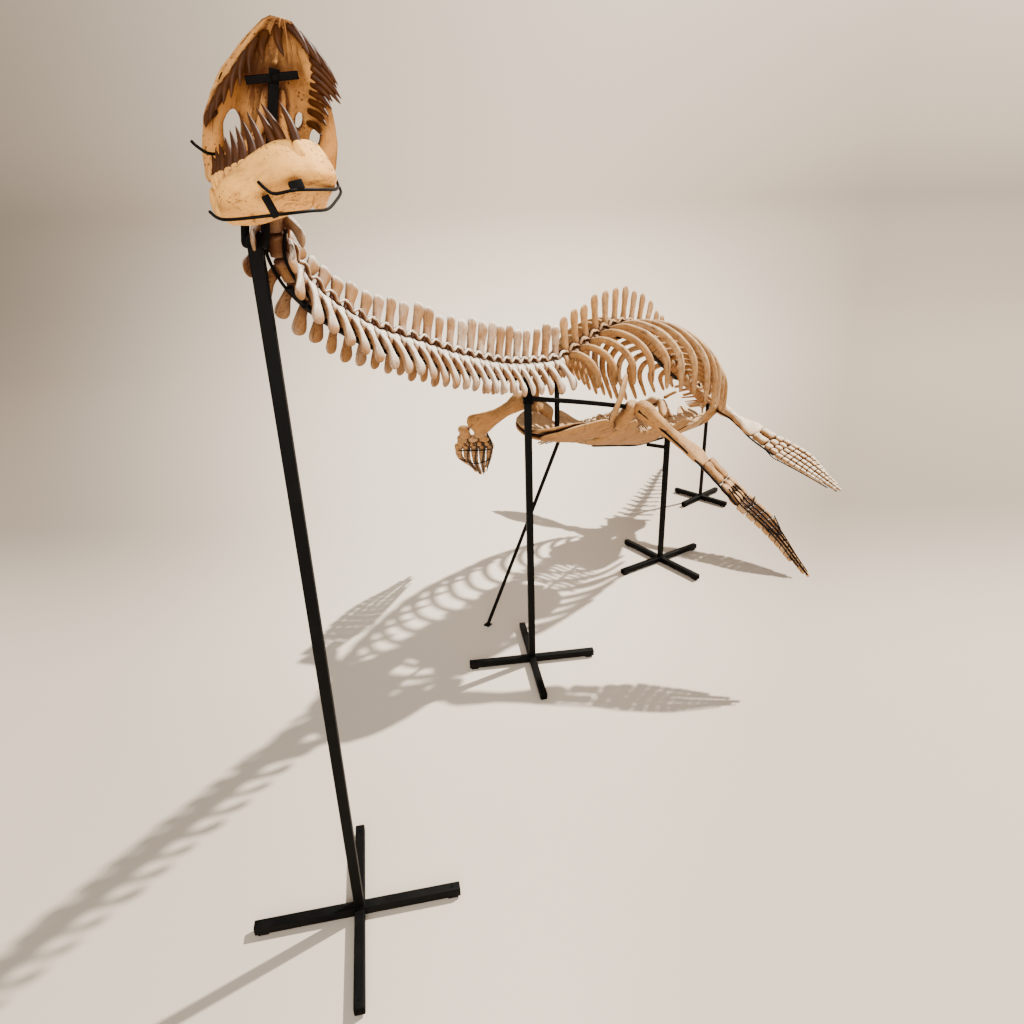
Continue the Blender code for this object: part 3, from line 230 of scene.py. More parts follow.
# %% [markdown]
# ## One mesh from many bones
#
# Joining hundreds of small objects by hand is slow in Blender. The pile stacks plain arrays
# instead, and keeps two things per bone that the finishes read later: a tone, so that
# neighbouring bones differ, and a map whose second number runs along the bone in metres, so that
# the grain can run lengthwise.

# %% The pile
def ripple(points, size, seed):
    """Uneven field near -1 to 1: five sine waves in odd directions, multiplied in pairs."""
    draw = np.random.default_rng(seed)
    total = np.zeros(len(points))
    for _ in range(5):
        wave = points @ (draw.normal(size=3) / size) + draw.uniform(0, 6.28)
        other = points @ (draw.normal(size=3) / size) + draw.uniform(0, 6.28)
        total += np.sin(wave) * np.sin(other)
    return total / 2.5


class Pile:
    """Closed surfaces gathered for one mesh."""

    def __init__(self):
        self.verts, self.quads, self.tris = [], [], []
        self.quad_uv, self.tri_uv, self.tone, self.push = [], [], [], []
        self.count = 0

    def solid(self, verts, quads, tris, quad_uv, tri_uv, tone, push):
        """Adds one closed surface, turned over if its volume comes out negative."""
        fans = np.vstack([tris, quads[:, [0, 1, 2]], quads[:, [0, 2, 3]]])
        a, b, c = (verts[fans[:, k]] for k in range(3))
        if np.sum(a * np.cross(b, c)) < 0.0:
            quads, quad_uv = quads[:, ::-1], quad_uv[:, ::-1]
            tris, tri_uv = tris[:, ::-1], tri_uv[:, ::-1]
        self.verts.append(verts)
        self.quads.append(quads + self.count)
        self.tris.append(tris + self.count)
        self.quad_uv.append(quad_uv)
        self.tri_uv.append(tri_uv)
        tone = chance.uniform(0.0, 1.0) if tone is None else tone
        self.tone.append(np.full(len(verts), tone))
        self.push.append(np.full(len(verts), push))
        self.count += len(verts)

    def tube(self, grid, tone=None, push=0.0):
        """Rings joined one to the next, with a pole at each end."""
        n, m = grid.shape[:2]
        verts = np.vstack([grid.reshape(-1, 3), grid[0].mean(0), grid[-1].mean(0)])
        i, j = (k.ravel() for k in np.meshgrid(np.arange(n - 1), np.arange(m), indexing="ij"))
        near, far = i * m + j, i * m + (j + 1) % m
        quads = np.stack([near, far, far + m, near + m], axis=1)
        length = arc_lengths(grid.mean(1))
        girth = np.linalg.norm(grid[n // 2] - grid[n // 2].mean(0), axis=1).mean() * 2.0 * math.pi
        u0, u1 = j / m * girth, (j + 1) / m * girth
        v0, v1 = length[i], length[i + 1]
        quad_uv = np.stack([[u0, v0], [u1, v0], [u1, v1], [u0, v1]]).transpose(2, 0, 1)
        k = np.arange(m)
        start = np.stack([np.full(m, n * m), (k + 1) % m, k], axis=1)
        stop = np.stack([np.full(m, n * m + 1), (n - 1) * m + k, (n - 1) * m + (k + 1) % m], axis=1)
        tri_uv = np.zeros((2 * m, 3, 2))
        tri_uv[:, :, 0] = (k / m * girth).repeat(2)[:, None]
        tri_uv[m:, :, 1] = length[-1]
        self.solid(verts, quads, np.vstack([start, stop]), quad_uv, tri_uv, tone, push)

    def shell(self, outer, inner, kept=None, tone=None, push=0.0):
        """Closed wall between two grids: outer skin, inner skin turned over, and an edge strip
        wherever a kept cell meets the border or a cell left out."""
        n, m = outer.shape[:2]
        kept = np.ones((n - 1, m - 1), bool) if kept is None else kept
        index = np.arange(n * m).reshape(n, m)
        top = np.stack([index[:-1, :-1], index[:-1, 1:], index[1:, 1:], index[1:, :-1]], -1)[kept]
        framed = np.pad(kept, 1)
        before, after = framed[:-1, 1:-1], framed[1:, 1:-1]
        left, right = framed[1:-1, :-1], framed[1:-1, 1:]
        strips = []
        for p, q, one, two in (
            (index[:, :-1], index[:, 1:], after & ~before, before & ~after),
            (index[:-1, :], index[1:, :], left & ~right, right & ~left),
        ):
            for a, b in ((q[one], p[one]), (p[two], q[two])):
                strips.append(np.stack([a, b, b + n * m, a + n * m], axis=1))
        quads = np.vstack([top, top[:, ::-1] + n * m] + strips)
        verts = np.vstack([outer.reshape(-1, 3), inner.reshape(-1, 3)])
        u = np.linalg.norm(np.diff(outer, axis=1), axis=2).mean() * (quads % (n * m) % m)
        v = np.linalg.norm(np.diff(outer, axis=0), axis=2).mean() * (quads % (n * m) // m)
        used = np.unique(quads)
        renumber = np.zeros(2 * n * m, int)
        renumber[used] = np.arange(len(used))
        no_tris = np.zeros((0, 3), int)
        uv = np.stack([u, v], -1)
        self.solid(verts[used], renumber[quads], no_tris, uv, np.zeros((0, 3, 2)), tone, push)

    def finish(self, name, material, slot, replaced=(), wear_size=0.03):
        """One object at the origin from all that was added; every point is then pushed along its
        normal by its own amount times the ripple."""
        verts = np.vstack(self.verts) + PLAN_ORIGIN
        quads, tris = np.vstack(self.quads), np.vstack(self.tris)
        mesh = bpy.data.meshes.new(name)
        mesh.vertices.add(len(verts))
        mesh.vertices.foreach_set("co", verts.ravel())
        mesh.loops.add(quads.size + tris.size)
        mesh.loops.foreach_set("vertex_index", np.concatenate([quads.ravel(), tris.ravel()]))
        mesh.polygons.add(len(quads) + len(tris))
        sizes = np.concatenate([np.full(len(quads), 4), np.full(len(tris), 3)])
        mesh.polygons.foreach_set("loop_start", np.concatenate([[0], np.cumsum(sizes)[:-1]]))
        mesh.update(calc_edges=True)
        normals = np.zeros(verts.size)
        mesh.vertices.foreach_get("normal", normals)
        push = np.concatenate(self.push)[:, None]
        field = ripple(verts, wear_size, 5) + 0.5 * ripple(verts, 0.4 * wear_size, 6)
        verts = verts + push * field[:, None] * normals.reshape(-1, 3)
        mesh.vertices.foreach_set("co", verts.ravel())
        uv = np.concatenate([np.vstack(self.quad_uv).ravel(), np.vstack(self.tri_uv).ravel()])
        mesh.uv_layers.new(name="along").data.foreach_set("uv", uv)
        tone = mesh.attributes.new("tone", "FLOAT", "POINT")
        tone.data.foreach_set("value", np.concatenate(self.tone).astype(np.float32))
        mesh.update()
        mesh.shade_smooth()
        if slot == "steel":
            mesh.set_sharp_from_angle(angle=math.radians(40.0))
        mesh.materials.append(material)
        piece = bpy.data.objects.new(name, mesh)
        bpy.context.scene.collection.objects.link(piece)
        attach(piece, "root")
        if replaced:
            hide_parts(*replaced)
        triangles = 2 * len(quads) + len(tris)
        print(f"{name:24s} {triangles:7d} triangles, stands for {len(replaced)} solids")


def bone(pile, points, half_a, half_b, axis, rings=12, sides=10, end=6.0, corner=0.9, tone=None):
    """Domed bone along a smooth route; the half widths are read at even steps of its length. The
    wear is 6 % of the bone's own thickness."""
    t = stations(rings)
    halves = []
    for half in (half_a, half_b):
        half = np.atleast_1d(half)
        halves.append(np.interp(t, np.linspace(0.0, 1.0, len(half)), half) * dome(t, end))
    thin, thick = sorted(float(half.max()) for half in halves)
    wear = 0.06 * (thin + 0.2 * thick)
    pile.tube(carried(along_route(points, t), *halves, axis, sides, corner), tone, wear)


# %% [markdown]
# ## Shader arithmetic
#
# Node trees are easier to read as sums than as wires. The class below wraps a node's output, so
# that `0.4 * grain + tone` builds its own Math nodes. Colours don't go through Math nodes, which
# would turn them grey: they are mixed.

# %% Values that know their node tree
class Value:
    """Output of a node; sums and products of values make their own Math nodes."""

    def __init__(self, finish, socket):
        self.finish = finish
        self.socket = socket

    def math(self, operation, first, second):
        return self.finish.node("ShaderNodeMath", {"operation": operation}, {0: first, 1: second})["Value"]

    __add__ = lambda self, other: self.math("ADD", self, other)
    __radd__ = lambda self, other: self.math("ADD", other, self)
    __sub__ = lambda self, other: self.math("SUBTRACT", self, other)
    __rsub__ = lambda self, other: self.math("SUBTRACT", other, self)
    __mul__ = lambda self, other: self.math("MULTIPLY", self, other)
    __rmul__ = lambda self, other: self.math("MULTIPLY", other, self)

    def clipped(self):
        """The value held between 0 and 1."""
        return self.math("MINIMUM", self.math("MAXIMUM", self, 0.0), 1.0)

    def step(self, low, high):
        """0 below low, 1 above high, and a smooth rise between."""
        ranged = self.finish.node(
            "ShaderNodeMapRange", {"interpolation_type": "SMOOTHSTEP"},
            {"Value": self, "From Min": low, "From Max": high},
        )
        return ranged["Result"]


class Finish:
    """A material being built, with a Principled shader at its end. Its place is the point's own
    position in the model."""

    def __init__(self, name, specular):
        self.material = bpy.data.materials.new(name)
        self.material.use_nodes = True
        self.tree = self.material.node_tree
        self.shader = self.tree.nodes["Principled BSDF"]
        self.shader.inputs["Specular IOR Level"].default_value = specular
        self.place = self.node("ShaderNodeTexCoord", {}, {})["Object"]

    def node(self, kind, settings, inputs):
        """Adds one node: its settings first, then a number, colour or link for each socket."""
        node = self.tree.nodes.new(kind)
        for key, value in settings.items():
            setattr(node, key, value)
        for key, value in inputs.items():
            self.feed(node.inputs[key], value)
        return {output.name: Value(self, output) for output in reversed(node.outputs) if output.enabled}

    def feed(self, socket, value):
        if isinstance(value, Value):
            self.tree.links.new(value.socket, socket)
        elif isinstance(value, tuple) and len(value) == 3 and socket.type == "RGBA":
            socket.default_value = (*value, 1.0)
        else:
            socket.default_value = value

    def noise(self, scale, detail, roughness=0.55, where=None):
        made = self.node("ShaderNodeTexNoise", {}, {
            "Vector": where or self.place, "Scale": scale, "Detail": detail, "Roughness": roughness,
        })
        return made["Fac"]

    def streaks(self, across, along, detail, roughness):
        """Noise on the bone's own map, squeezed across it and drawn out along it."""
        own_map = self.node("ShaderNodeUVMap", {"uv_map": "along"}, {})["UV"]
        drawn = self.node("ShaderNodeMapping", {}, {"Vector": own_map, "Scale": (across, along, 1.0)})
        return self.noise(1.0, detail, roughness, drawn["Vector"])

    def facing(self, direction, of):
        """How much of one vector lies along a fixed direction."""
        made = self.node("ShaderNodeVectorMath", {"operation": "DOT_PRODUCT"}, {0: of, 1: tuple(direction)})
        return made["Value"]

    def blend(self, share, first, second):
        """First colour where share is 0, second where it is 1."""
        made = self.node("ShaderNodeMix", {"data_type": "RGBA"}, {0: share, 6: first, 7: second})
        return made["Result"]

    def surface(self, colour, roughness, height, strength, distance):
        """Joins colour, roughness and bump to the shader."""
        bumped = self.node("ShaderNodeBump", {}, {
            "Height": height, "Strength": strength, "Distance": distance,
        })
        self.feed(self.shader.inputs["Base Color"], colour)
        self.feed(self.shader.inputs["Roughness"], roughness)
        self.feed(self.shader.inputs["Normal"], bumped["Normal"])
        return self.material


# %% [markdown]
# ## Bone, tooth and steel
#
# Fossil bone and its casts are tan, cream or brown, and all three meet on one bone. The base
# colour drifts over the skeleton, each bone leans lighter or darker, fine grain runs along it, and
# small pits are dark. Light and shade are painted in on top: faces turned to the key light are paler
# as painted sunlight, sharp edges get a painted highlight, and creases get painted shade. An image
# texture would need a photograph; noise that follows the object and the bone's own length does not.

# %% Bone finish
SUN_SIDE = (-0.34, 0.26, 0.90)


def bone_finish(name, base, pale, dark, pits, sunlit_paling, grain_share):
    finish = Finish(name, specular=0.22)
    tone = finish.node("ShaderNodeAttribute", {"attribute_name": "tone"}, {})["Fac"]
    shape = finish.node("ShaderNodeNewGeometry", {}, {})
    sunny = finish.facing(SUN_SIDE, shape["Normal"])
    open_air = finish.node("ShaderNodeAmbientOcclusion", {"samples": 6}, {"Distance": 0.08})["AO"]

    drift = finish.noise(3.2, 3.0)
    mottle = finish.noise(26.0, 5.0, 0.62)
    grain = finish.streaks(62.0, 6.5, 5.0, 0.65)
    cells = {"Vector": finish.place, "Scale": 95.0}
    pit = 1.0 - finish.node("ShaderNodeTexVoronoi", {"feature": "F1"}, cells)["Distance"].step(0.10, 0.32)
    pit = pit * finish.noise(9.0, 2.0).step(0.38, 0.58)

    lightness = 0.55 * drift + 0.35 * mottle + 0.30 * tone + grain_share * grain
    pale_share = 0.32 * (lightness - 0.72).step(0.02, 0.34)
    # Painted highlight: sharp convex edges are paled as if the light caught them.
    painted_edge_highlight = shape["Pointiness"].step(0.53, 0.66) * 0.32
    # Painted sunlight: faces turned towards the key light are paled, more where the grain runs.
    painted_sunlight = sunny.step(0.28, 0.85) * sunlit_paling * (0.45 + 1.0 * grain)
    colour = finish.blend((pale_share + painted_edge_highlight + painted_sunlight).clipped(), base, pale)
    dark_share = ((0.54 - mottle) * 3.4).clipped() * 0.50 + pit * pits
    seam = (grain - 0.55).step(0.0, 0.11) * 0.60
    stain = finish.noise(13.0, 7.0, 0.76).step(0.50, 0.64) * 0.40
    # Painted shade: hollows and creases between bones are darkened by how closed in they are.
    painted_crease_shade = (1.0 - open_air).step(0.10, 0.58) * 0.94
    colour = finish.blend((dark_share + seam + stain + painted_crease_shade).clipped(), colour, dark)
    height = 0.5 * mottle + 0.6 * grain - 0.8 * pit
    return finish.surface(colour, 0.62 + 0.22 * mottle, height, 0.60, 0.0040)


def tooth_finish(root_colour, tip_colour):
    """Dark brown enamel, glossier than bone, with paler streaks along it."""
    finish = Finish("tooth_enamel", specular=0.12)
    streak = finish.streaks(260.0, 14.0, 4.0, 0.6)
    drift = finish.noise(30.0, 3.0)
    colour = finish.blend((0.8 * streak + 0.8 * drift - 0.45).clipped(), root_colour, tip_colour)
    return finish.surface(colour, 0.30 + 0.25 * streak, streak, 0.35, 0.0015)


def steel_finish(name, base, wear, roughness):
    """Matt black paint: a faint orange-peel skin, with grey where handling has worn it."""
    finish = Finish(name, specular=0.06)
    skin = finish.noise(420.0, 2.0)
    cloud = finish.noise(14.0, 5.0, 0.65)
    scuff = finish.noise(60.0, 6.0, 0.7).step(0.60, 0.72)
    worn = (0.5 * scuff * cloud + 0.25 * cloud.step(0.45, 0.75)).clipped()
    colour = finish.blend(worn, base, wear)
    return finish.surface(colour, roughness - 0.14 + 0.30 * cloud, skin, 0.18, 0.0008)


# Each look is base, pale, dark, pits, sunlit paling and grain share. The sunlit paling sets how strongly
# each group gets the painted sunlight. The pale colour serves both the bones' own paler patches and the
# painted light, and the dark colour both the pits and stains and the painted crease shade. The neck's and
# the skull's darker bases are partly painted shade, for bones that lie away from the light, and the jaw's
# bright base is partly painted light on the chin.
BONE_LOOKS = {
    "trunk_bone": ((0.385, 0.180, 0.050), (0.900, 0.700, 0.430), (0.060, 0.017, 0.004), 0.5, 0.30, 0.35),
    "neck_bone": ((0.290, 0.130, 0.036), (0.960, 0.860, 0.690), (0.075, 0.022, 0.006), 0.5, 1.15, 0.35),
    "paddle_bone": ((0.430, 0.198, 0.054), (0.860, 0.640, 0.370), (0.055, 0.016, 0.004), 0.7, 0.16, 0.35),
    "hind_bone": ((0.420, 0.205, 0.066), (0.920, 0.770, 0.550), (0.080, 0.024, 0.006), 0.6, 0.95, 0.35),
    "skull_bone": ((0.600, 0.275, 0.066), (0.950, 0.650, 0.270), (0.090, 0.026, 0.005), 0.7, 0.40, 0.25),
    "jaw_bone": ((0.950, 0.455, 0.095), (0.990, 0.640, 0.220), (0.200, 0.066, 0.012), 1.0, 0.16, 0.20),
}
TRUNK_BONE, NECK_BONE, PADDLE_BONE, HIND_BONE, SKULL_BONE, JAW_BONE = (
    bone_finish(name, *look) for name, look in BONE_LOOKS.items()
)
TOOTH = tooth_finish((0.014, 0.0036, 0.0007), (0.115, 0.036, 0.007))
STEEL = steel_finish("stand_steel", (0.0022, 0.0020, 0.0018), (0.012, 0.011, 0.010), 0.60)
WIRE = steel_finish("binding_wire", (0.0022, 0.0019, 0.0016), (0.010, 0.008, 0.006), 0.55)
print("finishes", len(bpy.data.materials))

# %% [markdown]
# ## Neck
#
# Each neck vertebra is a spool with two pairs of joint horns, a tall blade on top with a rounded
# head, and a pair of hatchet-shaped ribs that point down and back. A long neck could be one
# repeated vertebra in an Array modifier, but real ones change in size along the neck and each is
# a little different, so every one is worked out from its place on the backbone.

# %% Parts of a vertebra
def spool(pile, s, pitch, tone):
    """Centrum: radius drops by a sixth at the waist, and the rims are rounded."""
    t = stations(11)
    arc = s + (t - 0.5) * 0.965 * pitch
    radius = centrum_radius(arc) * (1.0 - 0.18 * (1.0 - (2 * t - 1) ** 2)) * dome(t, 12.0)
    _, _, left, _ = spine_frame(s)
    pile.tube(carried(spine_at(arc), radius, radius, left, 16), tone, 0.0011)


BLADE_SHAPE = np.array([0.40, 0.29, 0.28, 0.34, 0.41, 0.41])


def blade(pile, s, height, length, lean, tone):
    """Neural spine: a flat oval carried upwards, pinched above the arch and wide at the head."""
    point, forward, _, up, radius = joint_at(s)
    foot = point + 0.45 * radius * up
    top = point + 1.01 * height * up - lean * forward
    middle = 0.5 * (foot + top) + 0.12 * lean * forward
    bone(
        pile, [foot, middle, top], length * BLADE_SHAPE,
        radius * np.array([0.46, 0.30, 0.22, 0.19, 0.18, 0.17]), forward,
        rings=18, sides=12, end=9.0, corner=0.85, tone=tone,
    )


def joint_horns(pile, s, pitch, tone):
    """Zygapophyses: a pair reaching forward and up, and a pair reaching back over the next."""
    point, forward, left, up, radius = joint_at(s)
    for side in (1, -1):
        root = point + 0.98 * radius * up + 0.42 * radius * side * left
        ahead = root + 0.62 * pitch * forward + 0.32 * radius * up + 0.18 * radius * side * left
        behind = root - 0.60 * pitch * forward + 0.52 * radius * up + 0.05 * radius * side * left
        for tip in (ahead, behind):
            bone(pile, [root - 0.2 * radius * up, 0.5 * (root + tip) + 0.10 * radius * up, tip],
                 [0.30 * radius, 0.20 * radius, 0.25 * radius],
                 [0.20 * radius, 0.13 * radius, 0.12 * radius], left, rings=8, sides=8, tone=tone)


def hatchet_rib(pile, s, side, length, pitch, tone):
    """Neck rib: a stalk out of the centrum that bends down into a blade flared along the neck."""
    point, forward, left, up, radius = joint_at(s)
    out = side * left
    root = point + 0.60 * radius * out + 0.30 * radius * up
    knee = point + 1.30 * radius * out - 0.62 * radius * up - 0.10 * length * forward
    tip = point + 1.30 * radius * out - 0.70 * radius * up
    tip = tip + length * (0.26 * out - 0.80 * up - 0.50 * forward)
    widths = pitch * np.array([0.24, 0.19, 0.165, 0.18, 0.25, 0.31, 0.30])
    bone(pile, [root, knee, 0.5 * (knee + tip) + 0.05 * length * out, tip], widths,
         [0.013, 0.012, 0.010, 0.008, 0.007, 0.006], forward, rings=18, sides=12, end=7.0,
         corner=0.8, tone=tone)


BLADE_LENGTHS = ((0.0, 0.85), (1.0, 1.05))
NECK_RIB_LENGTHS = ((0.0, 0.078), (0.5, 0.088), (1.2, 0.100), (1.9, 0.115), (NECK_ARC, 0.130))
NECK_RIB_STOUTNESS = ((0.0, 1.35), (0.6, 1.18), (1.2, 1.05))


def neck_piece(index, first, last):
    pile = Pile()
    for k in range(first, last):
        s = float(0.5 * (neck_joint(k) + neck_joint(k + 1)))
        pitch = float(neck_joint(k + 1) - neck_joint(k))
        tone = chance.uniform(0.0, 1.0)
        spool(pile, s, pitch, tone)
        if k > 0:
            height = spine_height(s) * chance.uniform(0.88, 1.06)
            length = pitch * float(read(BLADE_LENGTHS, s)) * chance.uniform(0.80, 1.16)
            lean = pitch * chance.uniform(-0.05, 0.30)
            blade(pile, s, height, length, lean, tone)
            joint_horns(pile, s, pitch, tone)
        for side in (1, -1):
            length = float(read(NECK_RIB_LENGTHS, s)) * chance.uniform(0.90, 1.08)
            stout = pitch * float(read(NECK_RIB_STOUTNESS, s)) * chance.uniform(0.85, 1.12)
            hatchet_rib(pile, s, side, length, stout, tone)
    pile.finish(f"neck_bones_{index}", NECK_BONE, "bone", [f"neck_{index}"])


# %% Neck, in the same four lengths as the solids
NECK_LENGTHS = ((0, 8), (8, 15), (15, 21), (21, NECK_COUNT))
for neck_index, (neck_first, neck_last) in enumerate(NECK_LENGTHS, 1):
    neck_piece(neck_index, neck_first, neck_last)

# %% [markdown]
# ## Trunk
#
# The back carries the tallest blades, and each vertebra but the last few has a pair of ribs. A
# rib leaves the side of the vertebra, turns over and sweeps down and back, widest below its
# shoulder, and ends blunt. The two sides of the cage are two rows of pieces, as on the mount.

# %% Ribs
RIB_KNOTS = (0, 0.15, 0.40, 0.65, 0.85, 1.0)
RIB_SIZES = (
    (0.20, 0.34, 0.50, 0.47, 0.30, 0.15), (0.22, 0.34, 0.56, 0.52, 0.30, 0.12),
    (0.16, 0.22, 0.34, 0.36, 0.26, 0.12),
)


def rib_sizes(k):
    """Reach, drop, sweep and half width of a rib, read along the row of ribs."""
    x = (k - RIB_FIRST) / (RIB_LAST - RIB_FIRST)
    wide = np.interp(x, [0, 0.2, 0.6, 1.0], [0.028, 0.032, 0.030, 0.018])
    return *(float(np.interp(x, RIB_KNOTS, sizes)) for sizes in RIB_SIZES), float(wide)


RIB_SHAPE = np.array([
    (0.00, 0.00, 0.00), (0.34, 0.07, 0.07), (0.74, -0.09, 0.28), (0.98, -0.44, 0.58),
    (0.93, -1.00, 1.00),
])


def long_rib(pile, s, side, reach, drop, sweep, wide, tone):
    """Rib route: the five shape points scaled by reach sideways, drop downwards and sweep back."""
    point, _, _, up, radius = joint_at(s)
    root = point + 0.35 * radius * up + np.array([0.0, side * 0.4 * radius, 0.0])
    points = root + np.stack([
        -sweep * RIB_SHAPE[:, 2], side * (reach - 0.4 * radius) * RIB_SHAPE[:, 0],
        drop * RIB_SHAPE[:, 1],
    ], axis=1)
    widths = wide * np.array([1.10, 0.70, 0.74, 0.86, 0.98, 1.04, 1.02, 0.92, 0.78, 0.70])
    depths = [0.024, 0.019, 0.020, 0.021, 0.021, 0.020, 0.018, 0.016, 0.014, 0.012]
    bone(pile, points, widths, depths, (1.0, 0.0, 0.25), rings=34, sides=12, end=16.0, tone=tone)


def side_process(pile, s, side, reach, tone):
    """Short strut out of the side of a vertebra, for the rib to stand on."""
    point, forward, left, up, radius = joint_at(s)
    root = point + 0.55 * radius * up + 0.30 * radius * side * left
    tip = root + reach * (0.95 * side * left + 0.22 * up) - 0.2 * reach * forward
    bone(pile, [root, tip], [0.022, 0.014, 0.018], [0.015, 0.010, 0.012], forward,
         rings=9, sides=9, tone=tone)


# %% Half vertebrae and their ribs
def side_name(side):
    return "left" if side > 0 else "right"


def trunk_piece(side, index, first, last):
    """Everything on one side of the middle plane; the blades and spools meet there."""
    pile = Pile()
    for k in range(first, last):
        s = NECK_ARC + (k + 0.5) * TRUNK_PITCH
        tone = chance.uniform(0.0, 1.0)
        point, _, left, up, radius = joint_at(s)
        if side > 0:
            spool(pile, s, TRUNK_PITCH, tone)
            height = spine_height(s) * (1.0 + 0.035 * math.sin(2.4 * k))
            blade(pile, s, height, 0.86 * TRUNK_PITCH, 0.06 * TRUNK_PITCH, tone)
            joint_horns(pile, s, TRUNK_PITCH, tone)
        if RIB_FIRST <= k <= RIB_LAST:
            side_process(pile, s, side, 1.25 * radius, tone)
            reach, drop, sweep, wide = rib_sizes(k)
            long_rib(pile, s, side, reach, drop * chance.uniform(0.975, 1.025), sweep, wide, tone)
        elif k < RIB_FIRST:
            long_rib(pile, s, side, 0.15, 0.20, 0.15, 0.026, tone)
        else:
            reach = unit(side * left - 0.35 * up)
            bone(pile, [point + 0.02 * reach, point + 0.125 * reach],
                 [0.028, 0.019, 0.024], [0.016, 0.011, 0.014], AHEAD, tone=tone)
    name = side_name(side)
    pile.finish(f"trunk_bones_{name}_{index}", TRUNK_BONE, "bone", [f"trunk_{name}_{index}"])


TRUNK_LENGTHS = ((0, 7), (7, 14), (14, TRUNK_COUNT))
for trunk_side in (1, -1):
    for trunk_index, (trunk_first, trunk_last) in enumerate(TRUNK_LENGTHS, 1):
        trunk_piece(trunk_side, trunk_index, trunk_first, trunk_last)

# %% [markdown]
# ## Tail
#
# The tail runs out in ever smaller vertebrae with low blades, side struts and, below, small
# chevron bones. It is mostly hidden behind the ribs in the view from the front, so its curve
# comes from the species: nearly straight and slightly hanging.

# %% Tail
def tail_piece(index, first, last):
    pile = Pile()
    pitch = (TAIL_ARC - TRUNK_ARC) / TAIL_COUNT
    for k in range(first, last):
        s = TRUNK_ARC + (k + 0.5) * pitch
        tone = chance.uniform(0.0, 1.0)
        point, forward, left, up, radius = joint_at(s)
        fade = 1.0 - k / TAIL_COUNT
        spool(pile, s, pitch, tone)
        blade(pile, s, max(spine_height(s), 1.6 * radius), 0.74 * pitch, 0.16 * pitch, tone)
        if k < 13:
            widths = [0.014 + 0.006 * fade, 0.010 + 0.004 * fade, 0.008 + 0.010 * fade]
            for side in (1, -1):
                root = point + 0.4 * radius * side * left
                tip = root + side * (0.035 + 0.125 * fade) * left - 0.02 * up - 0.030 * forward
                bone(pile, [root, tip], widths, [0.010, 0.006, 0.005], forward, tone=tone)
        if 0 < k < 14 and k % 2 == 0:
            root = point - 0.5 * radius * up
            tip = root - (0.04 + 0.09 * fade) * up - 0.035 * forward
            bone(pile, [root, tip], [0.009, 0.007, 0.012], [0.008, 0.005, 0.004], forward, tone=tone)
    pile.finish(f"tail_bones_{index}", TRUNK_BONE, "bone", [f"tail_{index}"])


for tail_index, (tail_first, tail_last) in enumerate(((0, 6), (6, 12), (12, TAIL_COUNT)), 1):
    tail_piece(tail_index, tail_first, tail_last)

# %% [markdown]
# ## Head
#
# The head looks down at us with its mouth wide open, so the view goes straight into the vault of
# the palate. The skull is a shell: the outer skin arches over, the inner skin is the vault, and
# openings are cells left out of both, their edge points drawn onto an ellipse so that the rim is
# round. A Boolean cut would work too, but would leave long thin faces on such a curved wall.

# %% Directions of the head and of the jaw
HEAD = np.array((1.797, 0.356, 2.594))
FACING = unit((0.530, 0.848, 0.000))
SNOUT_LEAN = math.radians(16.0)
HEAD_ROLL = math.radians(10.5)
JAW_RISE = math.radians(18.0)
JAW_ROLL = math.radians(-6.0)
SKULL_LENGTH = 0.378
SKULL_HALF_WIDTH = 0.155
JAW_HALF_WIDTH = 0.118
SIDEWAYS = np.cross(UPRIGHT, FACING)


def rolled(angle):
    """Up and left directions of a head part that is rolled about the way it faces."""
    up = math.cos(angle) * UPRIGHT + math.sin(angle) * SIDEWAYS
    left = math.cos(angle) * SIDEWAYS - math.sin(angle) * UPRIGHT
    return up, left


HEAD_UP, HEAD_LEFT = rolled(HEAD_ROLL)
FACE = math.cos(SNOUT_LEAN) * FACING - math.sin(SNOUT_LEAN) * HEAD_UP
SNOUT = math.cos(SNOUT_LEAN) * HEAD_UP + math.sin(SNOUT_LEAN) * FACING
JAW_BASE, JAW_LEFT = rolled(JAW_ROLL)
JAW_FORWARD = math.cos(JAW_RISE) * FACING + math.sin(JAW_RISE) * JAW_BASE
JAW_UP = np.cross(JAW_FORWARD, JAW_LEFT)


def in_skull(along, left, behind):
    """Point from its distance along the snout, to the left, and behind the palate."""
    along, left, behind = (np.asarray(v, float)[..., None] for v in (along, left, behind))
    return HEAD + along * SNOUT + left * HEAD_LEFT - behind * FACE


def in_jaw(forward, left, up):
    """Point from its distance forward from the jaw joint, to the left, and up to the teeth."""
    forward, left, up = (np.asarray(v, float)[..., None] for v in (forward, left, up))
    return HEAD + forward * JAW_FORWARD + left * JAW_LEFT + up * JAW_UP


def skull_points(rows, side=1):
    """Several points of the skull at once; a side of -1 mirrors them."""
    along, left, behind = np.transpose(rows)
    return in_skull(along, side * left, behind)


def jaw_points(rows, side=1):
    forward, left, up = np.transpose(rows)
    return in_jaw(forward, side * left, up)


# %% Skull
SKULL_STAGES = np.array([0.0, 0.12, 0.25, 0.38, 0.52, 0.66, 0.79, 0.90, 0.97, 1.0])
SKULL_WIDTHS = np.array([0.90, 0.98, 1.00, 0.99, 0.90, 0.76, 0.57, 0.38, 0.24, 0.14])
SKULL_HEIGHTS = np.array([0.080, 0.098, 0.105, 0.108, 0.102, 0.088, 0.072, 0.056, 0.040, 0.024])
VAULT_DEPTHS = np.array([0.046, 0.055, 0.058, 0.053, 0.046, 0.037, 0.028, 0.016, 0.007, 0.002])
SKULL_OPENINGS = (
    (0.125, -0.090, 0.047, 0.025), (0.178, 0.068, 0.021, 0.010), (0.150, 0.108, 0.025, 0.012),
)


def half_width_of_skull(t):
    return SKULL_HALF_WIDTH * np.interp(t, SKULL_STAGES, SKULL_WIDTHS)


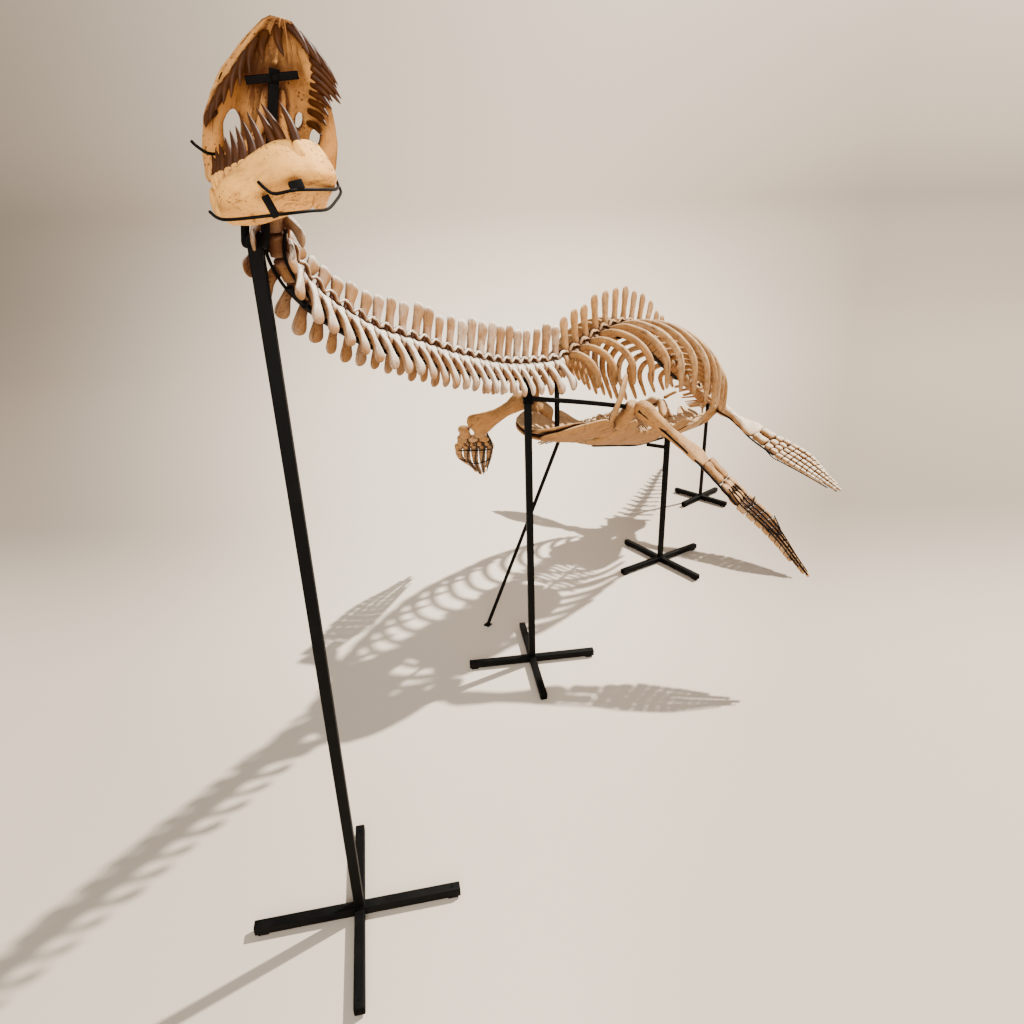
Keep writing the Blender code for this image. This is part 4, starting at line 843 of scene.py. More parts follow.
def vault_depth(t, share):
    """How far the vault lies behind the rim: full along the middle, none near the rim."""
    inward = np.clip((0.90 - np.abs(share)) / 0.42, 0.0, 1.0)
    return np.interp(t, SKULL_STAGES, VAULT_DEPTHS) * inward ** 2 * (3.0 - 2.0 * inward)


def skull_grids(rows=66, columns=53):
    """Outer skin: half width times cosine, height times sine. Inner skin: the same cosine, drawn
    in a little, with the vault's depth times a flattened sine."""
    t = np.linspace(0.0, 1.0, rows)[:, None]
    angle = np.linspace(0.0, math.pi, columns)[None, :]
    along = 0.010 + t * (SKULL_LENGTH - 0.010)
    along = np.broadcast_to(along, (rows, columns)).copy()
    width = half_width_of_skull(t)
    across = width * np.cos(angle)
    kept = np.ones((rows - 1, columns - 1), bool)
    for a0, w0, ra, rw in SKULL_OPENINGS:
        distance = np.hypot((along - a0) / ra, (across - w0) / rw)
        middle = 0.25 * (distance[:-1, :-1] + distance[1:, :-1] + distance[:-1, 1:] + distance[1:, 1:])
        gone = middle < 1.0
        kept &= ~gone
        touched = np.zeros((rows, columns), int)
        for di in (0, 1):
            for dj in (0, 1):
                touched[di:rows - 1 + di, dj:columns - 1 + dj] += gone
        rim = (touched > 0) & (touched < 4)
        along[rim] = a0 + (along[rim] - a0) / distance[rim]
        across[rim] = w0 + (across[rim] - w0) / distance[rim]
    share = np.clip(across / width, -1.0, 1.0)
    height = np.interp(t, SKULL_STAGES, SKULL_HEIGHTS)
    arch = np.sqrt(1.0 - share ** 2)
    keel = 0.010 * np.exp(-(share / 0.10) ** 2) * np.sin(math.pi * np.clip(t, 0, 1))
    orbit = 0.0
    for side in (1, -1):
        orbit = orbit + np.exp(-(((along - 0.262) / 0.034) ** 2 + ((across - side * 0.088) / 0.024) ** 2))
    outer = in_skull(along, across, height * arch * (1.0 - 0.42 * orbit) + keel)
    ridge = 0.008 * np.exp(-(share / 0.07) ** 2) + 0.005 * np.exp(-((np.abs(share) - 0.34) / 0.05) ** 2)
    knob = 0.016 * np.exp(-((along - 0.292) ** 2 + (across + 0.004) ** 2) / 0.010 ** 2)
    inner = in_skull(along, 0.95 * across, vault_depth(t, share) - ridge - knob + 0.003)
    return outer, inner, kept


CHEEK = ((0.100, 0.126, 0.040), (0.050, 0.128, 0.022), (0.006, 0.128, 0.012))
PALATE_STRUT = ((0.060, 0.118, 0.006), (0.100, 0.060, 0.020), (0.150, 0.026, 0.030), (0.240, 0.018, 0.034))
NAPE = ((0.030, 0.105, 0.045), (0.050, 0.045, 0.068), (0.052, 0.004, 0.074))


def skull_piece():
    pile = Pile()
    pile.shell(*skull_grids(), 0.55, 0.0016)
    for side in (1, -1):
        bone(pile, skull_points(CHEEK, side), [0.022, 0.021, 0.020], [0.024, 0.023, 0.021],
             HEAD_LEFT, tone=0.4)
        bone(pile, skull_points(PALATE_STRUT, side), [0.012, 0.011, 0.012, 0.010],
             [0.008, 0.007, 0.006, 0.005], HEAD_LEFT, rings=22, tone=0.2)
        bone(pile, skull_points(NAPE, side), [0.016, 0.013, 0.018], [0.012, 0.010, 0.014], SNOUT, tone=0.3)
    bone(pile, [in_skull(0.085, 0.0, 0.060), in_skull(0.050, 0.0, 0.070), spine_at(0.0)],
         [0.040, 0.036, 0.022], [0.034, 0.030, 0.022], HEAD_LEFT, rings=16, sides=14, tone=0.4)
    pile.finish("skull_bones", SKULL_BONE, "head_bone", ["skull"])


def gum(along, left):
    """Point just behind the vault's skin."""
    t = (along - 0.010) / (SKULL_LENGTH - 0.010)
    share = left / float(half_width_of_skull(t))
    return in_skull(along, left, float(vault_depth(t, share)) + 0.008)


UPPER_ROWS = (
    {
        "along": (0.370, 0.357, 0.345, 0.333, 0.319, 0.303, 0.286, 0.268, 0.250, 0.230, 0.208, 0.180),
        "left": ((0.18, 0.090), (0.25, 0.085), (0.31, 0.078), (0.34, 0.066), (0.372, 0.017)),
        "back": ((0.18, 0.014), (0.26, 0.022), (0.30, 0.048), (0.34, 0.052), (0.372, 0.044)),
        "out": ((0.18, 0.020), (0.25, 0.040), (0.30, 0.066), (0.34, 0.064), (0.372, 0.042)),
        "front": 0.024, "bow": 0.005 * SNOUT,
    },
    {
        "along": (0.361, 0.344, 0.328, 0.305, 0.280, 0.255, 0.230, 0.200, 0.165),
        "left": ((0.15, -0.136), (0.23, -0.104), (0.255, -0.091), (0.305, -0.064), (0.33, -0.046),
                 (0.361, -0.002)),
        "back": ((0.15, 0.034), (0.23, 0.064), (0.30, 0.086), (0.361, 0.060)),
        "out": ((0.15, -0.020), (0.23, -0.026), (0.30, -0.018), (0.34, -0.012), (0.361, 0.013)),
        "front": 0.026, "bow": -0.006 * HEAD_LEFT,
    },
)


def upper_tooth_places():
    """Root, tip and bow of each upper fang, read along the snout. The row on the animal's left
    splays out over the rim; the row on its right hangs down along it."""
    places = []
    for row in UPPER_ROWS:
        for along in row["along"]:
            left, back, out = (read(row[key], along) for key in ("left", "back", "out"))
            grown = chance.uniform(0.88, 1.10)
            tip = in_skull(along - grown * back, left + grown * out, -row["front"])
            places.append((gum(along, left), tip, row["bow"]))
    return places


UPPER_TEETH = upper_tooth_places()
skull_piece()

# %% [markdown]
# ## Lower jaw
#
# The two rami run forward from the joints and meet in a broad chin, a shovel that closes the
# mouth from below. It is one shell along the curve of the jaw: from the tooth rim the wall
# bulges, goes down, and curls in under the mouth, most at the chin and not at all at the joints.

# %% Lower jaw
JAW_ROUTE = ((0.012, 1.00), (0.09, 1.02), (0.18, 0.99), (0.25, 0.86), (0.290, 0.52), (0.302, 0.0))
CHIN = (
    (0.070, -0.006, -0.068), (0.150, -0.008, -0.066), (0.225, -0.012, -0.060), (0.276, -0.014, -0.056),
    (0.304, -0.014, -0.053),
)
CHIN_HALVES = ((0.080, 0.120, 0.130, 0.126, 0.102), (0.018, 0.024, 0.031, 0.033, 0.029))
CHIN_TILT = math.radians(6.0)


def jaw_line(count):
    """Smooth curve from the right joint round the chin to the left joint, in jaw directions."""
    right = [(forward, -share * JAW_HALF_WIDTH, 0.0) for forward, share in JAW_ROUTE]
    left = [(forward, -across, 0.0) for forward, across, _ in right[-2::-1]]
    return along_route(right + left, np.linspace(0.0, 1.0, count))


def jaw_grids(rows=90, columns=30):
    """Wall profile by its own share v of the way down: out by a sine of v, down by the depth
    times v, and in by the curl times the share past the lower edge. The right side sags."""
    line = jaw_line(rows)
    reach = line[:, :1] / line[:, 0].max()
    tangent = unit(np.gradient(line, axis=0))
    outward = np.stack([-tangent[:, 1], tangent[:, 0], np.zeros(rows)], axis=1)
    outward *= np.sign(np.sum(outward * (line - [0.1, 0.0, 0.0]), axis=1, keepdims=True))
    v = np.linspace(0.0, 1.0, columns)[None, :]
    depth = 0.052 + 0.052 * reach ** 1.5
    bulge = (0.008 + 0.010 * reach) * np.sin(math.pi * np.clip(v / 0.75, 0.0, 1.0))
    curl = np.clip((v - 0.42) / 0.58, 0.0, 1.0) ** 1.5 * (0.012 + 0.125 * reach ** 3)
    down = depth * np.sin(0.5 * math.pi * np.clip(v / 0.80, 0.0, 1.0))
    wall = 0.011 + 0.005 * reach - 0.006 * v ** 3
    right_share = np.clip(-line[:, 1:2] / 0.09, 0.0, 1.0)
    front_share = np.clip(line[:, :1] / 0.20, 0.0, 1.0)
    low_side = 0.034 * right_share * front_share ** 2
    grids = []
    for inset in (0.0, 1.0):
        off = bulge - curl - inset * wall * (0.35 + 0.65 * np.cos(0.5 * math.pi * v))
        sink = down - inset * wall * np.sin(0.5 * math.pi * v)
        forward = line[:, :1] + off * outward[:, :1]
        left = line[:, 1:2] + off * outward[:, 1:2]
        grids.append(in_jaw(forward, left, -sink * (1.0 - 3.0 * low_side) + 0.004 - low_side))
    return grids


LOWER_ROW = {
    "left": ((0.10, -0.120), (0.15, -0.108), (0.18, -0.090), (0.225, -0.066), (0.262, -0.026),
             (0.291, 0.020), (0.300, 0.044)),
    "up": ((0.10, 0.026), (0.15, 0.013), (0.20, 0.006), (0.245, -0.004), (0.300, -0.003)),
    "shift": ((0.10, 0.006), (0.15, 0.012), (0.225, 0.006), (0.262, -0.008), (0.291, -0.026),
              (0.300, -0.014)),
    "height": ((0.10, 0.046), (0.15, 0.058), (0.20, 0.070), (0.262, 0.080), (0.285, 0.090),
               (0.300, 0.084)),
}


def lower_tooth_places():
    """Root and tip of each lower fang, along the right ramus and round the chin."""
    forward = np.array([0.10, 0.125, 0.15, 0.175, 0.20, 0.225, 0.245, 0.262, 0.280, 0.291, 0.300])
    left, up, shift, height = (read(table, forward) for table in LOWER_ROW.values())
    height = height * chance.uniform(0.94, 1.08, len(forward))
    return in_jaw(forward, left, up - 0.008), in_jaw(forward + 0.006, left + shift, up + height)


def jaw_piece():
    pile = Pile()
    pile.shell(*jaw_grids(), None, 0.75, 0.0016)
    t = stations(26)
    at = np.linspace(0.0, 1.0, len(CHIN))
    wide, thick = (np.interp(t, at, halves) * dome(t, 7.0) for halves in CHIN_HALVES)
    chin_side = math.cos(CHIN_TILT) * JAW_LEFT + math.sin(CHIN_TILT) * JAW_UP
    chin_path = along_route(jaw_points(CHIN), t)
    pile.tube(carried(chin_path, wide, thick, chin_side, 48, 0.62), 0.7, 0.0024)
    for side in (1, -1):
        ramus_end = jaw_points(((0.060, JAW_HALF_WIDTH, -0.026), (0.018, JAW_HALF_WIDTH, -0.022)), side)
        bone(pile, [*ramus_end, in_skull(-0.006, side * 0.127, 0.014)],
             [0.018, 0.021, 0.017], [0.026, 0.022, 0.016], HEAD_LEFT, rings=14, tone=0.6)
    for root in LOWER_TEETH[0]:
        collar = [0.0130, 0.0130, 0.0110]
        bone(pile, [root - 0.030 * JAW_UP, root + 0.010 * JAW_UP], collar, collar, JAW_LEFT,
             rings=9, tone=0.6)
    pile.finish("jaw_bones", JAW_BONE, "head_bone", ["mandible"])


LOWER_TEETH = lower_tooth_places()
jaw_piece()

# %% [markdown]
# ## Teeth
#
# The fangs are long, curved cones with an oval section, stained dark brown. They hang outwards
# from the upper jaw and lean up and out of the lower one, so that they would cross like a trap
# when the mouth shuts. Each is carried along a bent line with a radius that runs out to a point.

# %% Teeth
def fang(pile, root, tip, radius, bow):
    """Cone along a bent line: the radius is the root's times a power of the way left to go."""
    t = np.linspace(0.0, 1.0, 16)
    path = along_route([root, 0.5 * (root + tip) + bow, tip], t)
    size = radius * (1.01 - t) ** 0.62 * (0.82 + 0.7 * t * (1.0 - t))
    pile.tube(carried(path, size, 0.82 * size, HEAD_LEFT, 10), None, 0.0003)


def teeth_piece():
    pile = Pile()
    for root, tip, bow in UPPER_TEETH:
        fang(pile, root, tip, 0.0128, bow)
    for root, tip in zip(*LOWER_TEETH):
        fang(pile, root, tip, 0.0125, 0.004 * JAW_LEFT)
    pile.finish("teeth", TOOTH, "head_bone", wear_size=0.01)


teeth_piece()

# %% [markdown]
# ## Shoulder, hip and belly
#
# Under the trunk lie broad plates: two shoulder plates and a pair of clavicles in front, two hip
# plates behind, and belly ribs between. Together they make the shallow bowl of the belly. A plate
# is a pillow: rings from its middle out to a smooth outline on top, and back in underneath.

# %% Plates
BELLY_LINE = (
    (-3.0, 0.90), (-2.6, 0.87), (-2.1, 0.93), (-1.5, 1.03), (-0.7, 1.24), (-0.1, 1.42), (0.1, 1.50),
)


def belly(x, y):
    """Height of the belly bowl over the floor: a curve along it, rising with the square of y."""
    return read(BELLY_LINE, x) + 1.9 * np.abs(y) ** 2 + 0.10 * np.abs(y)


def closed_route(points, count):
    """Smooth closed outline through the points, evenly spaced."""
    points = np.asarray(points, float)
    doubled = smooth_route(np.vstack([points[-2:], points, points[:3]]))
    inner_part = doubled[2 * 24:(len(points) + 2) * 24 + 1]
    arc = arc_lengths(inner_part)
    return on_line(inner_part, arc, np.linspace(0.0, arc[-1], count, endpoint=False))


def plate(pile, outline, centre, thickness, lift=0.0, side_edge=None, tone=None):
    """Pillow over the belly bowl: x and y go from the centre to the outline by share r, and the
    skin lies above and below the bowl by half the thickness times the root of 1 minus r^8."""
    rim = closed_route([(x, y, 0.0) for x, y in outline], 84)[:, :2]
    if side_edge is not None:
        rim[:, 1] = side_edge * np.maximum(side_edge * rim[:, 1], 0.5 * JOINT_GAP)
    r = np.concatenate([np.linspace(0.04, 0.92, 13), [0.965, 0.99, 1.0]])
    share = np.concatenate([r, r[-2::-1]])
    sign = np.concatenate([np.ones(len(r)), -np.ones(len(r) - 1)])
    centre = np.asarray(centre, float)
    plan = centre + share[:, None, None] * (rim - centre)[None, :, :]
    swell = 0.5 * thickness * np.sqrt(np.clip(1.0 - share ** 8, 0.0, 1.0)) * (0.8 + 0.35 * share ** 2)
    z = belly(plan[:, :, 0], plan[:, :, 1]) + lift + (sign * swell)[:, None]
    pile.tube(np.concatenate([plan, z[:, :, None]], axis=2), tone, 0.0022)


# %% Sockets that the paddles hang from
PADDLES = {
    "fore_left": {
        "head": (-0.640, 0.345, 1.540), "elbow": (-0.750, 0.770, 1.205),
        "wrist": (-0.755, 0.985, 1.015), "tip": (-0.733, 1.405, 0.632),
        "bend": (0.0, 0.012, 0.020), "chord": (1.0, 0.0, 0.05),
        "sizes": (0.062, 0.098, 0.112, 0.125),
    },
    "fore_right": {
        "head": (-0.500, -0.315, 1.540), "elbow": (-0.400, -0.680, 1.318),
        "wrist": (-0.590, -0.800, 1.145), "tip": (-1.040, -1.085, 0.742),
        "bend": (0.0, -0.020, -0.010), "chord": (-0.548, 0.836, 0.0),
        "sizes": (0.062, 0.098, 0.118, 0.135),
    },
    "hind_left": {
        "head": (-2.640, 0.255, 1.080), "elbow": (-2.545, 0.640, 0.912),
        "wrist": (-2.490, 0.850, 0.820), "tip": (-2.330, 1.330, 0.612),
        "bend": (0.0, 0.0, 0.015), "chord": (0.94, 0.0, -0.34),
        "sizes": (0.056, 0.105, 0.118, 0.125),
    },
}
PADDLES["hind_right"] = {
    key: value if key == "sizes" else (value[0], -value[1], value[2])
    for key, value in PADDLES["hind_left"].items()
}


def socket_at(key):
    """Joint point of a paddle and the direction of its upper bone."""
    head = np.array(PADDLES[key]["head"])
    return head, unit(np.array(PADDLES[key]["elbow"]) - head)


def mirrored(side, plan):
    """Outline of a plate on one side, from its outline on the left."""
    return [(x, side * y) for x, y in plan]


# %% Shoulders
def shoulder_piece(side):
    name = side_name(side)
    socket, outward = socket_at(f"fore_{name}")
    pile = Pile()
    plate(pile, mirrored(side, (
        (-0.66, 0.0), (-0.64, 0.12), (-0.68, 0.21), (-0.82, 0.28), (-1.00, 0.22),
        (-1.22, 0.20), (-1.42, 0.27), (-1.56, 0.24), (-1.60, 0.10), (-1.52, 0.0),
    )), (-1.05, side * 0.12), 0.046, side_edge=side, tone=0.5)
    plate(pile, mirrored(side, (
        (-0.10, 0.02), (-0.06, 0.10), (-0.20, 0.20), (-0.42, 0.26), (-0.60, 0.24),
        (-0.66, 0.17), (-0.50, 0.14), (-0.50, 0.06), (-0.36, 0.012),
    )), (-0.34, side * 0.14), 0.036, side_edge=side, tone=0.35)
    inner = np.array((-0.655, side * 0.235, float(belly(-0.655, 0.235))))
    bone(pile, [inner, 0.5 * (inner + socket), socket - 0.001 * outward],
         [0.080, 0.062, 0.058, 0.056], [0.038, 0.040, 0.044, 0.046], AHEAD,
         rings=18, sides=18, end=9.0, tone=0.45)
    root = np.array((-0.50, side * 0.25, float(belly(-0.50, 0.25))))
    bone(pile, [root, root + (-0.06, 0.03 * side, 0.12), root + (-0.20, 0.01 * side, 0.25)],
         [0.052, 0.034, 0.030, 0.024], [0.017, 0.012, 0.010, 0.008], AHEAD, rings=18, tone=0.3)
    pile.finish(f"shoulder_bones_{name}", TRUNK_BONE, "bone", [f"shoulder_{name}"], wear_size=0.06)


# %% Hips
def hip_piece(side):
    name = side_name(side)
    socket, outward = socket_at(f"hind_{name}")
    pile = Pile()
    plate(pile, mirrored(side, (
        (-2.02, 0.0), (-1.98, 0.12), (-2.10, 0.24), (-2.30, 0.25), (-2.44, 0.17),
        (-2.52, 0.20), (-2.56, 0.12), (-2.48, 0.0),
    )), (-2.26, side * 0.11), 0.040, side_edge=side, tone=0.9)
    plate(pile, mirrored(side, (
        (-2.56, 0.0), (-2.54, 0.16), (-2.64, 0.20), (-2.72, 0.13), (-2.90, 0.17),
        (-3.00, 0.10), (-2.94, 0.0),
    )), (-2.73, side * 0.08), 0.036, side_edge=side, tone=0.8)
    for x in (-2.50, -2.62):
        inner = np.array((x, side * 0.15, float(belly(x, 0.15))))
        bone(pile, [inner, 0.5 * (inner + socket), socket - 0.001 * outward],
             [0.048, 0.042, 0.044], [0.028, 0.030, 0.036], AHEAD, rings=16, sides=14,
             end=8.0, tone=0.5)
    point, _, left, up = spine_frame(NECK_ARC + (TRUNK_COUNT - 1.5) * TRUNK_PITCH)
    reach = unit(side * left - 0.35 * up)
    top = point + 0.127 * reach
    hip = socket - 0.030 * outward
    bone(pile, [hip, 0.45 * hip + 0.55 * top + 0.02 * reach, top + 0.012 * reach],
         [0.032, 0.020, 0.021, 0.030], [0.022, 0.014, 0.012, 0.014], AHEAD, rings=20,
         tone=0.4)
    pile.finish(f"hip_bones_{name}", TRUNK_BONE, "bone", [f"pelvis_{name}"], wear_size=0.05)


# %% Clavicles and belly ribs
def clavicle_piece():
    pile = Pile()
    plate(pile, [
        (-0.035, 0.0), (-0.06, 0.10), (-0.16, 0.17), (-0.34, 0.19), (-0.29, 0.09), (-0.37, 0.0),
        (-0.29, -0.09), (-0.34, -0.19), (-0.16, -0.17), (-0.06, -0.10),
    ], (-0.17, 0.0), 0.022, lift=0.034, tone=0.6)
    pile.finish("clavicle_bones", TRUNK_BONE, "bone", ["clavicles"], wear_size=0.05)


def belly_rib_piece():
    """Each row is a middle bone with two bones a side that lap over it."""
    pile = Pile()
    for k in range(9):
        x = -1.630 - 0.039 * k
        reach = 0.27 - 0.005 * k
        for start, stop in ((-1.0, -0.42), (-0.58, 0.04), (-0.04, 0.58), (0.42, 1.0)):
            f = np.linspace(start, stop, 7)
            lap = 0.006 * (1 if abs(start + stop) > 1.0 else -1)
            line = np.stack([
                x - 0.13 * np.abs(f) ** 1.4 + lap, reach * f, belly(x, reach * f) + 0.006 + 0.5 * lap,
            ], axis=1)
            bone(pile, line, [0.007, 0.011, 0.010, 0.006], [0.005, 0.008, 0.008, 0.005],
                 AHEAD, rings=14, sides=8)
    pile.finish("belly_ribs", TRUNK_BONE, "bone", ["gastralia"])


for girdle_side in (1, -1):
    shoulder_piece(girdle_side)
    hip_piece(girdle_side)
clavicle_piece()
belly_rib_piece()

# %% [markdown]
# ## Paddles
#
# A plesiosaur's limb is one strong bone, two short ones, a mosaic of rounded wrist bones and then
# five fingers of many small spool-shaped bones, close together. On the mount, thin black wires
# run along the fingers with two wires across. Every finger bone here is its own closed shape with
# gaps between, which the solids fuse for strength.

# %% Limb directions and upper bone
def limb_axes(root, tip, chord):
    """Direction along the limb, across its width, and out of its flat face."""
    direction = unit(np.asarray(tip) - np.asarray(root))
    chord = np.asarray(chord, float)
    across = unit(chord - np.dot(chord, direction) * direction)
    return direction, across, np.cross(direction, across)


def upper_bone(pile, head, elbow, chord, head_size, end_size):
    """Humerus or femur: a ball at the socket, a shaft, and a wide flat end."""
    direction, across, face = limb_axes(head, elbow, chord)
    sway = 0.010 * across
    middle = 0.5 * (head + elbow)
    widths = np.array([0.90, 1.00, 0.86, 0.72, 0.66]) * head_size
    widths = np.concatenate([widths, np.array([0.52, 0.66, 0.84, 0.98, 0.96]) * end_size])
    depths = np.array([0.86, 0.94, 0.80, 0.64, 0.56, 0.52, 0.50, 0.46, 0.42, 0.36]) * head_size
    bone(pile, [head + 0.001 * direction, middle + sway, elbow], widths, depths, across,
         rings=30, sides=22, end=9.0, corner=0.95, tone=0.45)
    knob = head + 0.045 * direction + 0.50 * head_size * face
    bone(pile, [knob - 0.03 * direction, knob + 0.05 * direction],
         head_size * np.array([0.30, 0.34, 0.20]), 0.30 * head_size, across,
         rings=12, sides=12, tone=0.45)


# %% Forearm, wrist and fingers
def forearm(pile, elbow, wrist, chord, span, fan, thick):
    """Two short bones with pinched waists, then two rows of wrist bones like river pebbles."""
    direction, across, _ = limb_axes(elbow, wrist, chord)
    length = float(np.linalg.norm(wrist - elbow))
    for lead in (0.50, -0.50):
        start = elbow + lead * span * across
        stop = elbow + 0.50 * length * direction + lead * (0.6 * span + 0.4 * fan) * across
        size = 0.50 * span
        bone(pile, [start, stop], size * np.array([1.0, 0.80, 0.72, 0.84, 1.0]),
             thick * np.array([1.0, 0.8, 0.9]), across, rings=16, sides=16, end=7.0, tone=0.5)
    for at, many in ((0.64, 3), (0.89, 4)):
        width = span + (fan - span) * at
        for k in range(many):
            offset = (k + 0.5) / many * 2.0 - 1.0
            centre = elbow + at * length * direction + offset * width * across
            half = (0.135 + 0.010 * (k % 2)) * length
            size = width / many
            bone(pile, [centre - half * direction, centre + half * direction],
                 size * np.array([0.9, 1.0, 0.95]), thick * np.array([0.72, 0.80, 0.70]),
                 across, rings=12, sides=14, end=3.2)


FINGER_REACH = (0.70, 0.90, 1.00, 0.94, 0.76)
FINGER_BONES = (8, 11, 13, 12, 9)


def finger_line(limb, k):
    """Centre line of one finger, from the wrist to its own tip."""
    wrist, tip = np.array(limb["wrist"]), np.array(limb["tip"])
    direction, across, _ = limb_axes(wrist, tip, limb["chord"])
    length = float(np.linalg.norm(tip - wrist))
    fan = limb["sizes"][3]
    offset = (k - 2) / 2.0
    start = wrist + 0.004 * direction + offset * 0.80 * fan * across
    stop = wrist + FINGER_REACH[k] * length * direction + offset * 0.42 * fan * across
    middle = 0.5 * (start + stop) + np.array(limb["bend"]) + offset * 0.16 * fan * across
    return smooth_route([start, middle, stop])


def finger(pile, limb, k, thick):
    """Spool-shaped bones end to end, each a little shorter and thinner than the last."""
    line = finger_line(limb, k)
    arc = arc_lengths(line)
    _, across, _ = limb_axes(limb["wrist"], limb["tip"], limb["chord"])
    steps = np.linspace(1.35, 0.62, FINGER_BONES[k])
    ends = np.concatenate([[0.0], np.cumsum(steps)]) / steps.sum() * arc[-1]
    size = 0.245 * limb["sizes"][3]
    for start, stop in zip(ends[:-1], ends[1:]):
        gap = 0.02 * (stop - start)
        s = np.linspace(start + gap, stop - gap, 3)
        taper = 1.0 - 0.55 * 0.5 * (start + stop) / arc[-1]
        wide = size * taper * chance.uniform(0.94, 1.05)
        bone(pile, on_line(line, arc, s), wide * np.array([1.0, 0.90, 0.78, 0.88, 0.98]),
             thick * taper * np.array([1.0, 0.88, 0.84, 0.94]), across, rings=10, sides=10, end=6.0)


def paddle_pieces(key):
    limb = PADDLES[key]
    head_size, end_size, span, _ = limb["sizes"]
    place, side = key.split("_")
    upper, looks = ("humerus", PADDLE_BONE) if place == "fore" else ("femur", HIND_BONE)
    head, elbow, wrist = (np.array(limb[name]) for name in ("head", "elbow", "wrist"))
    pile = Pile()
    upper_bone(pile, head, elbow, limb["chord"], head_size, end_size)
    pile.finish(f"{upper}_bone_{side}", looks, "bone", [f"{upper}_{side}"], wear_size=0.05)
    pile = Pile()
    start = elbow - 0.012 * unit(wrist - elbow)
    forearm(pile, start, wrist, limb["chord"], 0.92 * end_size, span, 0.030)
    pile.finish(f"wrist_bones_{key}", looks, "bone", [f"lower_{key}"])
    pile = Pile()
    for k in range(5):
        finger(pile, limb, k, 0.021)
    pile.finish(f"finger_bones_{key}", looks, "bone", [f"digits_{key}"])


for paddle_key in PADDLES:
    paddle_pieces(paddle_key)

# %% [markdown]
# ## Steel stands
#
# Each stand is a square tube on a crossed foot of the same tube, painted matt black. The bare
# solids have knife edges, and real box tube has rounded corners, capped ends, small glides under
# the arms and a collar where the rod is welded on. A Bevel modifier could round the edges, but
# the solids come as loose triangles, so the tubes are drawn again as rounded squares carried
# along straight lines.

# %% Tubes, bars and bolts
FOOT_TUBE = 0.040
FOOT_PAD = 0.010
STANDS = {
    "head": ((1.814, 0.295), -46.0, 0.400, 2.480, 0.038),
    "shoulder": ((0.000, 0.000), -49.0, 0.390, 1.790, 0.038),
    "belly": ((-1.700, 0.172), -24.0, 0.400, 1.120, 0.034),
    "tail": ((-3.170, 0.010), -15.0, 0.285, 1.020, 0.026),
}


def box_tube(pile, start, stop, half_a, half_b, axis, corner=0.22):
    """Rounded rectangle carried straight from start to stop, with the last millimetres drawn in
    so that the cut ends catch the light."""
    start, stop = np.asarray(start, float), np.asarray(stop, float)
    length = float(np.linalg.norm(stop - start))
    soft = min(0.0025, 0.2 * length)
    s = np.array([0.0, 0.3 * soft, soft, 0.5 * length, length - soft, length - 0.3 * soft, length])
    shrink = soft * np.array([1.0, 0.3, 0.0, 0.0, 0.0, 0.3, 1.0])
    path = start + (s / length)[:, None] * (stop - start)
    pile.tube(carried(path, half_a - shrink, half_b - shrink, axis, 28, corner), 0.5)


def swept(pile, points, half_a, half_b, axis, rings, sides, corner=1.0):
    """One section carried along a smooth route at even steps."""
    path = along_route(points, np.linspace(0.0, 1.0, rings))
    pile.tube(carried(path, half_a, half_b, axis, sides, corner), 0.5)


def flat_bar(pile, points, half_a, half_b, axis, rings=40):
    swept(pile, points, half_a, half_b, axis, rings, 16, 0.25)


def round_wire(pile, points, radius, rings=40, sides=8):
    run = unit(np.asarray(points[-1]) - points[0])
    swept(pile, points, radius, radius, square_to(run), rings, sides)


def square_to(run):
    """Upright, or level and ahead where the run itself is nearly upright."""
    return UPRIGHT if abs(run[2]) < 0.8 else AHEAD


def bolt(pile, centre, axis, radius=0.007, height=0.006):
    """Hexagon head with a domed washer under it."""
    centre, axis = np.asarray(centre, float), unit(axis)
    washer = centre + np.linspace(0.0, 0.3, 3)[:, None] * height * axis
    head = centre + np.linspace(0.2, 1.0, 4)[:, None] * height * axis
    for path, shares, sides in ((washer, [1.35, 1.35, 1.2], 16), (head, [1.0, 1.0, 1.0, 0.85], 6)):
        size = radius * np.array(shares)
        pile.tube(carried(path, size, size, square_to(axis), sides), 0.5)


# %% The four stands
def turned(centre, degrees, u, v, z):
    """Plan point from distances along and across a foot's arm."""
    c, s = math.cos(math.radians(degrees)), math.sin(math.radians(degrees))
    return np.array([centre[0] + c * u - s * v, centre[1] + s * u + c * v, z])


